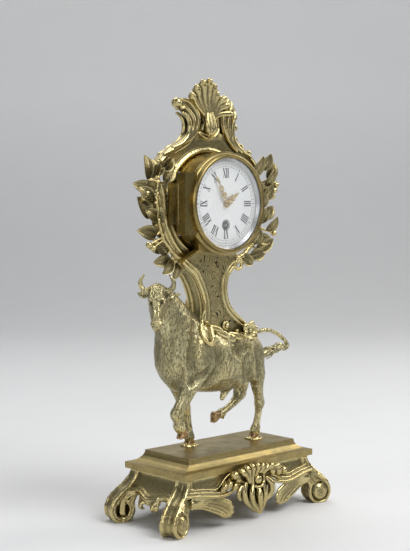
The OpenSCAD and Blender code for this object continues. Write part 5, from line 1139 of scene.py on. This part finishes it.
VOLUTE_AT, BUD_AT, FLOWER_AT = np.array([19.4, 43]), np.array([8.8, 5.6]), np.array([26.4, 1])
for front in (-1, 1):
    y0 = PED_MID + front * (PED_HALF + 0.2)
    out = (0, front, 0)

    def on_panel(a, b, lift=0.0):
        """A point on this side of the pedestal, from where it stands on the back."""
        return PED_AT[0] + a, y0 + front * lift, BACK_Z + b

    eye = spiral(VOLUTE_AT, 3.7, 2.3, 110, -310, 14, 1.1, 0.9)
    pedestal.rod([[*on_panel(a, b, 0.4), w] for a, b, w in eye], 0.3)
    ring = [[*on_panel(*(BUD_AT + polar(2.5, a)), 0.3), 0.6] for a in range(0, 361, 30)]
    pedestal.rod(ring, 0.2)
    pedestal.ball(on_panel(*BUD_AT, 0.9), 1.9, 0.1)
    pedestal.ball(on_panel(17.6, 1.6, 1), 1.5, 0.2)
    for k in range(6):
        tip = on_panel(*(FLOWER_AT + polar(5.6, 60 * k + 20)), 2 + (k % 2))
        petal(pedestal, on_panel(*FLOWER_AT, 1), tip, 3, out, 1.8, 1.3, 0.15)
    pedestal.ball(on_panel(*(FLOWER_AT + 0.4), 3.6), 1.6, 0.1)
    for a, b, c, d, w in ((-6.6, 6.6, 3, 3, 1.7), (-1.6, 4, 8.4, -1, 2.2), (4, 1, 13.6, -3.4, 2.7),
                          (6, -2.6, 12, -6.4, 1.9), (12, 0.6, 19.6, -2.6, 2.2)):
        petal(pedestal, on_panel(a, b, 0.6), on_panel(c, d, 1.8), w, out, 1.2, 1.2, 0.2)
    gap = [[*on_panel(a, b, 0.6), 0.7] for a, b in ((-5.6, 8.4), (0, 6.6), (5, 4), (9, 1.6))]
    pedestal.rod(smooth(gap, 3), 0.2, carve=True)


def on_the_panel(p):
    """1 on the flat panel between the beads, where the finish draws its chased lines."""
    flat = np.abs(p[:, 1] - PED_MID) > PED_HALF - 1.2
    inside = outline_distance(PED_OUTLINE, p[:, 0] - PED_AT[0], p[:, 2] - PED_AT[2]) < -4.6
    return (flat & inside) * 1.0


chased = gilding("chased_gilt", (0.64, 0.555, 0.285), DEEP, 0.26, engraved=True)
cast("pedestal", pedestal, chased, stands_for=("pedestal",), reach=2, panel=on_the_panel)

# %% [markdown]
# ## The cartouche frame
# Two scroll stems climb from the drum's shoulders to the crest, and two more hang down its sides.
# Each is a band with a raised rib, and a smooth hollow field joins the stems above the drum. On
# front and back three cords ride up each stem and part at its top, as on chased bronze. A collar
# clears the drum, which is pushed in from the front.

# %% Cartouche frame
FRAME_FRONT, FRAME_BACK = -1.9, 3.5
FRAME_MID = (FRAME_FRONT + FRAME_BACK) / 2
COLLAR_R, DRUM_ROOM_R = 34.4, 30.65
LEFT_STEM = smooth([[-42, 17, 1], [-39.6, 22.4, 1.9], [-34, 28.2, 2.3], [-27.2, 32.4, 2.5],
                    [-19.8, 36, 2.7], [-14.4, 40.4, 2.9], [-11.6, 46, 3], [-12, 52, 3],
                    [-15, 56.6, 2.7], [-18.6, 59, 2.2], [-22, 60.2, 1.8]], 4)
RIGHT_STEM = smooth([[44.4, 17, 1], [42, 22.4, 1.9], [36.4, 28.2, 2.3], [29.6, 32.2, 2.5],
                     [23, 35.6, 2.7], [19.6, 40, 2.9], [19.4, 46, 3.1], [21, 52, 2.9],
                     [21.4, 57, 2.3], [19.6, 61.4, 1.4], [17.4, 64, 0.6]], 4)
SIDE = smooth([[38.6, 12, 0.8], [36.4, 7, 1.6], [35.4, 0, 2.2], [34.4, -9, 2.4], [30.6, -18.6, 2.6],
               [25, -26.6, 2.8], [19, -32.4, 2.8]], 4)
SPANDREL = [[-34, 22], [-30, 31], [-22, 35], [-17, 39], [-12, 42.4], [-5, 43.2], [1.5, 41.4],
            [8, 43.2], [14, 42.4], [18, 39], [22.6, 35], [30, 31], [34, 22]]
clock_frame = Clay([CASE[0] - 47, -6.5, CASE[2] - 40], [CASE[0] + 49, 6.5, CASE[2] + 68], 0.5)
cut, u, w, y = clock_frame.upright(CASE[0], CASE[2])
ring = np.hypot(u, w)
deep = np.abs(y - FRAME_MID)
for line in (LEFT_STEM, RIGHT_STEM, SIDE * [-1, 1, 1], SIDE):
    far, width = line_distance(line, u, w)
    high = 2.0 + 1.5 * bead(far, width * 0.62) + 0.9 * bead(far - width * 0.86, 0.5)
    clock_frame.join(cut, np.maximum(far - width, deep - high), 0.8)
inset = -outline_distance(SPANDREL, u, w)
hollow = 2.6 - 1.1 * np.clip(inset / 4, 0, 1) ** 0.7
clock_frame.join(cut, np.maximum(-inset, deep - hollow), 0.6)
collar = np.maximum(ring - COLLAR_R, deep - 2.2 - 1.1 * bead(ring - COLLAR_R + 2, 1.2)
                    - 0.5 * bead(ring - COLLAR_R + 0.4, 0.6))
clock_frame.join(cut, collar, 0.5)
rolled = [from_axis(a, b, FRAME_MID - 1.4, r) for a, b, r in
          ((-9.6, 41.4, 0.9), (-5.6, 43.2, 1.5), (-1.6, 42.4, 1.9), (1.6, 41.6, 2), (5, 42.2, 1.9),
           (8.6, 43.2, 1.5), (11.6, 42.6, 0.9))]
clock_frame.rod(smooth(rolled, 3), 0.8)
for a, b, r in ((-44.6, 19.4, 1.4), (46.4, 19, 1.4), (-21.8, -33.6, 1.8), (21.8, -33.6, 1.8)):
    clock_frame.ball(from_axis(a, b, FRAME_MID - 1), r, 0.6)
for mid, begin, turn in ((np.array([-43.6, 20.4]), 0, 430), (np.array([45.4, 20]), 180, -430)):
    eye = spiral(mid, 3.6, 0.6, begin, begin + turn, 20, 1.15, 0.7)
    clock_frame.rod([from_axis(a, b, FRAME_MID - 0.6, r) for a, b, r in eye], 0.4)
STRANDS_UP = (
    [(-23, 35.6, 1.2), (-15, 39.4, 1.5), (-9.6, 46, 1.6), (-9, 52.4, 1.6), (-12.6, 58, 1.5),
     (-17.6, 61.4, 1.3), (-22.4, 62, 1.1)],
    [(-29, 33.4, 1.2), (-19, 37.6, 1.5), (-13, 44.6, 1.6), (-12.6, 50.6, 1.6), (-16, 55, 1.4),
     (-19.4, 57.4, 1.3), (-22, 57, 1)],
    [(-36, 29.4, 1), (-25, 34.2, 1.3), (-17, 41, 1.5), (-15.8, 48, 1.4), (-18, 52.4, 1.2),
     (-21.4, 54.2, 1)],
    [(24, 32.6, 1.1), (16.6, 39.6, 1.4), (13.4, 46, 1.6), (12.6, 53, 1.7), (14, 59.6, 1.6),
     (16.4, 64, 1)],
    [(29, 32, 1.1), (20, 38.4, 1.4), (17, 45, 1.6), (16.8, 52, 1.7), (18.4, 58.4, 1.5), (19.4, 62, 0.9)],
    [(36, 29, 1), (24.6, 36, 1.3), (20.6, 42, 1.5), (20.4, 48, 1.6), (22, 53.6, 1.3), (22.6, 56.4, 0.8)])
for strand in STRANDS_UP:
    for deep_at, blend in ((FRAME_FRONT - 0.5, 0.35), (FRAME_BACK - 0.8, 0.5)):
        clock_frame.rod([from_axis(a, b, deep_at, r) for a, b, r in smooth(strand, 4)], blend)
clock_frame.ball(from_axis(-25, 60, FRAME_MID - 2), 3.3, 0.2)
for a, b, c, d in ((19.6, 43, 25.6, 39), (20.6, 49.6, 25.4, 46.4), (21.6, 55.4, 25, 53),
                   (26, 37, 31.6, 34), (33, 32, 38, 31.4)):
    root, tip = from_axis(a, b, FRAME_MID - 1), from_axis(c, d, FRAME_MID)
    petal(clock_frame, root, tip, 2.1, (0, -1, 0), 1.2, 1.1)
clock_frame.carve(cut, ring - DRUM_ROOM_R, 0.1)
cast("cartouche_frame", clock_frame, gilt, stands_for=("cartouche_frame",), reach=2,
     relief=lambda p: (grain(p * 0.8) - 0.5) * 0.14)

# %% [markdown]
# ## The shell on top
# The crest is a palmette: nine fleshy lobes fan out from a root, swell, and roll forward at their
# tips. Each has a groove along its back. A drop of three ribs hangs over the root, a curved lip
# lies below it, and a thin web behind ties the lobes to the frame.

# %% Crest shell
crest = Clay([CASE[0] - 24, -10.5, CASE[2] + 38], [CASE[0] + 26, 5.5, CASE[2] + 79.5], 0.4)


def on_crest(a, b, fore, *halves):
    """A station from the dial's axis, so far in front of the frame."""
    return from_axis(a, b, FRAME_FRONT - fore, *halves)


ROOT = np.array([-0.4, 52])
LOBES = ((-16.6, 65.4, 2.6, 0), (-13.2, 69.8, 2.8, 0.6), (-8.6, 73, 3, 1.4), (-3.4, 74, 3, 1.6),
         (1.2, 71.4, 2.8, 1), (4.2, 67, 2.5, 0.3), (10.2, 64.6, 2.6, 0.8), (13.6, 60.6, 2.4, 0.4),
         (16.6, 55.4, 2.2, 0))
for n, (a, b, r, high) in enumerate(LOBES):
    tip, root = np.array([a, b]), ROOT + ((0.5 * (n - 2.5), 0) if n < 6 else (4.4, -1))
    bow = np.array((0.3 * (n - 2.5), 0) if n < 6 else (-1.6, 1.4))
    lobe, groove = [], []
    for t in np.linspace(0, 0.9, 7):
        at = root + (tip - root) * t + bow * math.sin(math.pi * t)
        lobe.append(on_crest(*at, 0.6 + high * t + 2.6 * t ** 4, 1.1 + (r - 1.1) * t ** 0.7))
    crest.rod([*lobe, on_crest(*tip, 3.4 + high, r * 0.62)], 0.15)
    for t in (0.45, 0.7, 0.95):
        at = root + (tip - root) * t + bow * math.sin(math.pi * t)
        groove.append(on_crest(*at, 2 + high * t + 2.6 * t ** 4 + (r - 1.1) * t ** 0.7, 0.28))
    crest.rod(groove, 0.6, carve=True)
web = [on_crest(-0.4, 50, -0.6, 3, 1.5), on_crest(-3, 60, -0.6, 6.6, 1.4),
       on_crest(-5.4, 68, -0.4, 8.4, 1.3)]
crest.rod(web, 0.8, (1, 0, 0))
backing = [on_crest(-3, 43, -2.6, 7, 1), on_crest(-4, 48, -2.6, 7.6, 1), on_crest(-5, 53, -2.4, 6.6, 1),
           on_crest(-6, 58, -2, 3, 1)]
crest.rod(backing, 0.8, (1, 0, 0))
for s in (-1, 0, 1):
    drop = [on_crest(-0.4 + s * 1.6, 56, 1.2, 1.2), on_crest(-0.4 + s * 2.7, 50, 2.4, 1.45),
            on_crest(-0.4 + s * 2.7, 45.6, 3, 1.45), on_crest(-0.4 + s * 1.7, 42.4, 2.2, 1.2)]
    crest.rod(smooth(drop, 3), 0.05)
lip = [on_crest(-8, 42.4, 0.4, 0.7), on_crest(-5, 40.4, 1, 0.9), on_crest(-1, 39.4, 1.3, 1),
       on_crest(3.4, 40.2, 1.2, 1), on_crest(6.6, 42.6, 0.9, 0.9), on_crest(8.4, 45.6, 0.4, 0.7)]
crest.rod(smooth(lip, 3), 0.5)
crest.rod([on_crest(0, 42, -1.6, 5, 1.6), on_crest(0, 50, -1.4, 3, 1.6)], 0.6, (1, 0, 0))
cast("crest_shell", crest, gilt, stands_for=("crest_shell",), reach=1.6)

# %% [markdown]
# ## Laurel
# Two sprays of laurel grow from below the drum, up both of its sides. A leaf is a thin sheet, so it
# is a mesh of its own: pointed at both ends, dished, with a raised midrib and slanting veins.
# Twig, stalks and berries are clay.

# %% Laurel
TWIG_Y = FRAME_FRONT - 1.3


def leaf_mesh(root, tip, width, bow, lean):
    """Front and back of one leaf, and a value at each point: rubbed gilt, a painted highlight on the rib
    and veins, and painted shade toward the root.
    """
    rows, cols = 15, 9
    root, tip = np.array(root, float), np.array(tip, float)
    axis = unit(tip - root)
    across = unit(np.cross(axis, (math.sin(lean), 1, 0)))
    out = np.cross(axis, across)
    out = out if out[1] < 0 else -out
    points, wear, faces = [], [], []
    for back in (0, 1):
        for i in range(rows):
            t = i / (rows - 1)
            half = width / 2 * max(math.sin(math.pi * t ** 0.8), 0) ** 0.75
            for j in range(cols):
                s = 2 * j / (cols - 1) - 1
                rib = 0.42 * math.exp(-(s / 0.13) ** 2) * (1 - 0.6 * t)
                vein = 0.13 * math.cos(2 * math.pi * (6.5 * t - 1.5 * abs(s))) * (1 - abs(s)) * 2
                dish = 0.75 * s * s * half / width * 2
                lift = bow * math.sin(math.pi * t * 0.85) + dish + (rib + vein if not back else -0.55)
                points.append(root + (tip - root) * t + across * s * half + out * lift)
                # Rib, veins and edges score higher and the root end lower: rubbed gilt, with painted
                # highlight on the raised lines and painted shade near the twig.
                wear.append(0.44 + rib * 0.4 + vein * 0.5 + 0.1 * abs(s) ** 3 - 0.14 * (1 - t) ** 2)
    n = rows * cols
    for i in range(rows - 1):
        for j in range(cols - 1):
            a = i * cols + j
            ahead = a + cols
            faces += [[a, a + 1, ahead + 1, ahead], [n + a, n + ahead, n + ahead + 1, n + a + 1]]
        for j, flip in ((0, 1), (cols - 1, 0)):
            a = i * cols + j
            rim = [a, a + cols, n + a + cols, n + a]
            faces.append(rim[::-1] if flip else rim)
    return points, faces, wear


def laurel(name, twig, leaves, buds, span, lean):
    """A branch within span, left and right of the dial's axis. lean tips its leaves back or forth."""
    clay = Clay([CASE[0] + span[0], -9, CASE[2] - 46], [CASE[0] + span[1], 5, CASE[2] + 36], 0.4)
    line = smooth(twig, 6)

    def near(p):
        return line[np.argmin(np.hypot(*(line - p).T))]

    clay.rod([from_axis(*p, TWIG_Y + 0.3 * math.sin(i), 1.9 - 1.1 * i / len(line))
              for i, p in enumerate(line)], 0.5)
    for i in range(3, len(line) - 2, 4):
        clay.ball(from_axis(*line[i], TWIG_Y - 0.5), 1.5 - 0.7 * i / len(line), 0.6)
    for a, b in buds:
        deep = TWIG_Y + lean * 0.4
        clay.rod([from_axis(*near((a, b)), TWIG_Y, 0.5), from_axis(a, b, deep - 0.6, 0.5)], 0.3)
        clay.ball(from_axis(a, b, deep - 0.8), 2.05, 0.2)
        clay.ball(from_axis(a + 0.4, b + 0.8, deep - 2.7), 0.45, 0.3)
    sheets = []
    for i, (a, b, heading, share) in enumerate(leaves):
        deep = lean + (i % 3 - 1) * 1.7
        root = from_axis(a, b, TWIG_Y + 0.25 * deep - 0.3)
        tip = from_axis(*(np.array([a, b]) + polar(14 * share, heading)), TWIG_Y + deep)
        clay.rod([from_axis(*near((a, b)), TWIG_Y, 0.9), [*root, 0.65]], 0.5)
        sheets.append(leaf_mesh(root, tip, 8.8 * share ** 0.5, 1.8, 0.25 * (i % 3 - 1)))
    points, quads = skin(clay)
    # The twig's openness gives its finish patina and painted shade in the hollows.
    wear = list(openness(clay, points, 1.2))
    points, faces = points.tolist(), quads.tolist()
    for sheet, shape, leaf_wear_and_shade in sheets:
        faces += [[v + len(points) for v in f] for f in shape]
        points += [list(p) for p in sheet]
        wear += leaf_wear_and_shade
    piece(name, points, faces, gilt, "gilt", stands_for=(name,), wear=wear)


LEFT_TWIG = [[-19.6, -35], [-28, -31], [-36, -23], [-41, -12], [-42.6, 0], [-42.2, 11], [-40, 20.4]]
LEFT_LEAVES = [[-49, 13.9, 101, 1.05], [-43.6, 15.1, 98, 0.8], [-45, 8, 163, 0.95],
               [-44.4, 0.7, 144, 1.1], [-47, -8.7, 124, 1.1], [-40.4, -13.6, 92, 1.1],
               [-43, -18.2, 169, 1.05], [-34, -30, 137, 0.95], [-31, -33, 190, 0.8],
               [-30, -33.6, 225, 0.8], [-26, -35, 262, 0.75], [-36, 12.3, 49, 1.05],
               [-38, 20, 40, 0.8], [-42.6, 5, 112, 0.9], [-43, -4, 84, 0.85], [-41, -10, 150, 0.9],
               [-38.6, -20, 118, 0.9], [-35, -26, 176, 0.85], [-43.4, 16, 66, 0.75]]
LEFT_BUDS = [[-52.6, 3.4], [-50.4, 6], [-48.6, -24.2], [-45.6, -26]]
laurel("laurel_left", LEFT_TWIG, LEFT_LEAVES, LEFT_BUDS, (-58, -8), 3)
RIGHT_TWIG = [[21, -35], [30, -31.6], [38, -24], [43, -13], [45, 0], [44.4, 11], [41, 20.4]]
RIGHT_LEAVES = [[34.5, 16, 61, 1.15], [44.3, 21, 57, 0.9], [51, 15, 66, 0.85], [47.1, 11, 64, 0.85],
                [46.2, 2.2, 59, 0.85], [46, -9.8, 42, 0.85], [49, -17.5, 56, 0.8],
                [40, -29.5, 28, 1.05], [34.5, -33.7, 14, 0.95], [44, -4, 95, 0.8], [40, -22, 350, 0.8],
                [44.6, 4, 112, 0.85], [43, -13, 74, 0.85], [36, -26, 62, 0.85], [27, -33, 330, 0.75]]
RIGHT_BUDS = [[57, 12], [55.4, 8.4], [53.6, 4.6], [55, -19]]
laurel("laurel_right", RIGHT_TWIG, RIGHT_LEAVES, RIGHT_BUDS, (12, 62), -3)

# %% [markdown]
# ## Pierced hands
# The hands are sawn from thin sheet and chased. They ride on their own turning bodies. Each is
# drawn pointing up in finer clay and then turned to five minutes to two, which is the time that
# the CAD model rests at.

# %% Hands
SHOW_HOUR, SHOW_MINUTE = 1, 55
# Stations: sideways in ring widths, up in lengths of the hand, half width in millimetres
HAND_STEM = [(0, 0.16, 0.3), (0, 0.66, 0.22), (0, 0.82, 0.2)]
HAND_SIDE = ([(0, 0.14, 0.3), (0.5, 0.2, 0.26), (1.1, 0.22, 0.24), (1.25, 0.3, 0.2), (0.95, 0.34, 0.16)],
             [(0.2, 0.42, 0.26), (0.9, 0.46, 0.22), (1, 0.54, 0.18), (0.7, 0.56, 0.14)],
             [(0, 0.24, 0.24), (0.42, 0.32, 0.22), (0, 0.4, 0.22)],
             [(0, 0.66, 0.24), (0.36, 0.74, 0.26), (0.3, 0.82, 0.24), (0, 0.94, 0.16), (0, 1, 0.1)])


def sawn_hand(name, length, wide, hub, bore, y_mid, turn, body):
    """A hand with two pierced rings and leaf-like branches, drawn upright and turned clockwise."""
    clay = Clay([-wide * 1.7, -0.5, -3], [wide * 1.7, 0.5, length + 0.6], 0.14)
    cut, u, w, y = clay.upright(0, 0)
    flat = np.hypot(u, w) - hub
    for share, size in ((0.32, 1), (0.56, 0.78)):
        far = np.hypot(u, w - length * share)
        flat = np.minimum(flat, np.abs(far - wide * size * 0.86) - 0.24)
    lines = [[(0, 0.6 * hub / length, 0.34), *HAND_STEM]]
    lines += [[(s * a, b, r) for a, b, r in branch] for s in (-1, 1) for branch in HAND_SIDE]
    for line in lines:
        far, half = line_distance(smooth([(a * wide, b * length, r) for a, b, r in line], 5), u, w)
        flat = np.minimum(flat, far - half)
    flat = np.maximum(flat, bore - np.hypot(u, w))
    clay.f[cut] = np.maximum(flat, np.abs(y) - 0.2 - 0.16 * np.clip(-flat / 0.3, 0, 1))
    points, quads = skin(clay, 1)
    # Openness darkens the hand's hollows: patina and painted shade.
    wear = openness(clay, points, 0.4)
    c, s = math.cos(math.radians(turn)), math.sin(math.radians(turn))
    a, b = points[:, 0].copy(), points[:, 2].copy()
    points[:, 0], points[:, 2] = CASE[0] + a * c + b * s, CASE[2] - a * s + b * c
    points[:, 1] += y_mid
    piece(name, points, quads, hand_gilt, "brass", body, (name,), wear=wear)


hand_gilt = gilding("hand_gilt", (0.6, 0.46, 0.19), (0.1, 0.065, 0.025), 0.24)
sawn_hand("hour_hand", 12.5, 1.9, 2.45, 1.75, DIAL_FACE - 0.75, 30 * SHOW_HOUR + SHOW_MINUTE / 2,
          "hour_set")
sawn_hand("minute_hand", 20.5, 1.5, 1.95, 1.15, DIAL_FACE - 1.65, 6 * SHOW_MINUTE, "minute_set")

# %% [markdown]
# ## Numerals and minute track
# The numerals are Roman, radial, and drawn with a quill's thick and thin strokes. They are fired
# into the enamel, so the flat strokes lie almost on its face. Two thin circles with sixty ticks
# make the minute track, and a ring marks the winding hole.

# %% Dial print
NUMERALS = "XII I II III IIII V VI VII VIII IX X XI".split()
PRINT_Y = DIAL_FACE - 0.03
LOW, HIGH = 15.6, 21.2                # the feet and the tops of the numerals
TRACK_IN, TRACK_OUT = 22.3, 24.1
THICK, THIN = 0.42, 0.17              # half widths of the two strokes of a pen
WIDTHS = {"I": 1.25, "V": 2.5, "X": 2.5}
PEN = {"I": ((0, 0, 0.4),), "V": ((-1, 0, THICK), (1, 0, THIN)), "X": ((-1, 1, THICK), (1, -1, THIN))}
HOLE_AT, HOLE_RING_R = np.array([0, -13]), 3.3
print_points, print_faces = [], []


def stroke(a, b, half, turn=0.0):
    """A flat bar from a to b on the dial, turned clockwise about its middle."""
    a, b = np.array(a, float), np.array(b, float)
    side = unit(np.array([-(b - a)[1], (b - a)[0]])) * half
    c, s = math.cos(math.radians(turn)), math.sin(math.radians(turn))
    start = len(print_points)
    for p in (a - side, b - side, b + side, a + side):
        print_points.append(from_axis(p[0] * c + p[1] * s, p[1] * c - p[0] * s, PRINT_Y))
    print_faces.append([start + i for i in (0, 3, 2, 1)])


def print_ring(mid, r, half, steps):
    """A thin circle of flat bars."""
    ring = [mid + polar(r, 360 / steps * k) for k in range(steps + 1)]
    for a, b in zip(ring, ring[1:]):
        stroke(a, b, half)


for hour, text in enumerate(NUMERALS):
    span = sum(WIDTHS[letter] for letter in text) / 2
    at = -span
    for letter in text:
        mid, w = at + WIDTHS[letter] / 2, WIDTHS[letter] * 0.42
        for top, foot, half in PEN[letter]:
            stroke((mid + top * w, HIGH), (mid + foot * w, LOW), half, 30 * hour)
        at += WIDTHS[letter]
    for r in (LOW, HIGH):
        stroke((-span - 0.1, r), (span + 0.1, r), 0.1, 30 * hour)
for r in (TRACK_IN, TRACK_OUT):
    print_ring(np.zeros(2), r, 0.07, 120)
for minute in range(60):
    stroke((0, TRACK_IN), (0, TRACK_OUT), 0.08 if minute % 5 else 0.2, 6 * minute)
print_ring(HOLE_AT, HOLE_RING_R, 0.16, 24)
piece("dial_print", print_points, print_faces, ink, "blued")

# %% [markdown]
# ## Light, floor and backdrop
# The photographer's light is soft and comes from the upper left and the front, with a weaker one
# on the right. Large area lamps give gilt its long highlights. The floor sweeps up into the
# backdrop, and both are pale: they belong to the stage and not to the part. Only rays that reach
# the eye, straight, mirrored or through glass, see the paper's own faint glow, which grows with
# height. It lights nothing, so the paper turns white behind the clock and the shadow stays.

# %% Stage
stage_finish = Finish("studio_paper", Specular_IOR_Level=0.1)
paper = stage_finish.noise(60, detail=2)
CAMERA_RAY, GLOSSY_RAY, TRANSMISSION_RAY = 0, 3, 6
seen = sum(stage_finish.node("ShaderNodeLightPath", out=ray)
           for ray in (CAMERA_RAY, GLOSSY_RAY, TRANSMISSION_RAY))
at = stage_finish.node("ShaderNodeTexCoord", out=3)
height = stage_finish.node("ShaderNodeSeparateXYZ", {}, at, out=2)
glow = stage_finish.ramp(height * 0.7, (0, 0), (0.3, 0.2), (1, 0.34))
stage_finish.feed(Emission_Color=stage_finish.blend(seen, (0, 0, 0), glow), Emission_Strength=1.0)
stage_finish.feed(Base_Color=stage_finish.blend(paper, (0.78, 0.785, 0.79), (0.81, 0.815, 0.82)),
                  Roughness=0.8 + paper * 0.1)
CURVE_START, CURVE_R, WALL_TOP, HALF_WIDTH = 1.0, 1.4, 5, 4       # metres
profile = [(-4, 0), (0, 0)]
for a in np.linspace(0, math.pi / 2, 25):
    profile.append((CURVE_START + CURVE_R * math.sin(a), CURVE_R * (1 - math.cos(a))))
profile.append((CURVE_START + CURVE_R, WALL_TOP))
side = Vector((math.cos(azimuth), math.sin(azimuth), 0))
away = Vector((-math.sin(azimuth), math.cos(azimuth), 0))
verts = [tuple(away * a + Vector((0, 0, b)) + side * s) for a, b in profile
         for s in (-HALF_WIDTH, HALF_WIDTH)]
faces = [(2 * i, 2 * i + 1, 2 * i + 3, 2 * i + 2) for i in range(len(profile) - 1)]
floor_mesh = bpy.data.meshes.new("studio_sweep")
floor_mesh.from_pydata(verts, [], faces)
floor_mesh.shade_smooth()
floor_mesh.materials.append(stage_finish.material)
sweep_object = bpy.data.objects.new("studio_sweep", floor_mesh)
bpy.context.scene.collection.objects.link(sweep_object)


def softbox(name, azimuth_deg, elevation_deg, far, size, watts, tint=(1, 1, 1)):
    """A rectangular lamp that looks at the clock from an angle and a distance in metres."""
    lamp = bpy.data.lights.new(name, "AREA")
    lamp.shape, lamp.size, lamp.size_y = "RECTANGLE", size[0], size[1]
    lamp.energy, lamp.color = watts, tint
    made = bpy.data.objects.new(name, lamp)
    a, e = math.radians(azimuth_deg), math.radians(elevation_deg)
    aim = Vector((math.sin(a) * math.cos(e), -math.cos(a) * math.cos(e), math.sin(e)))
    made.location = target + aim * far
    made.rotation_mode = "QUATERNION"
    made.rotation_quaternion = (-aim).to_track_quat("-Z", "Y")
    bpy.context.scene.collection.objects.link(made)


softbox("key", 12, 45, 1.3, (0.8, 0.8), 11)
softbox("left", -95, 20, 1.5, (0.5, 1.0), 3)
softbox("right", 75, 30, 1.4, (0.4, 1.0), 6, (1, 0.97, 0.93))
softbox("behind", 170, 65, 1.3, (0.9, 0.9), 7)
softbox("front", -38, 14, 1.6, (1.0, 0.5), 3)
world = bpy.data.worlds.new("studio")
world.use_nodes = True
sky = world.node_tree.nodes["Background"].inputs
sky["Color"].default_value = (0.9, 0.92, 0.95, 1)
sky["Strength"].default_value = 0.2
bpy.context.scene.world = world
print("lamps:", len(bpy.data.lights))
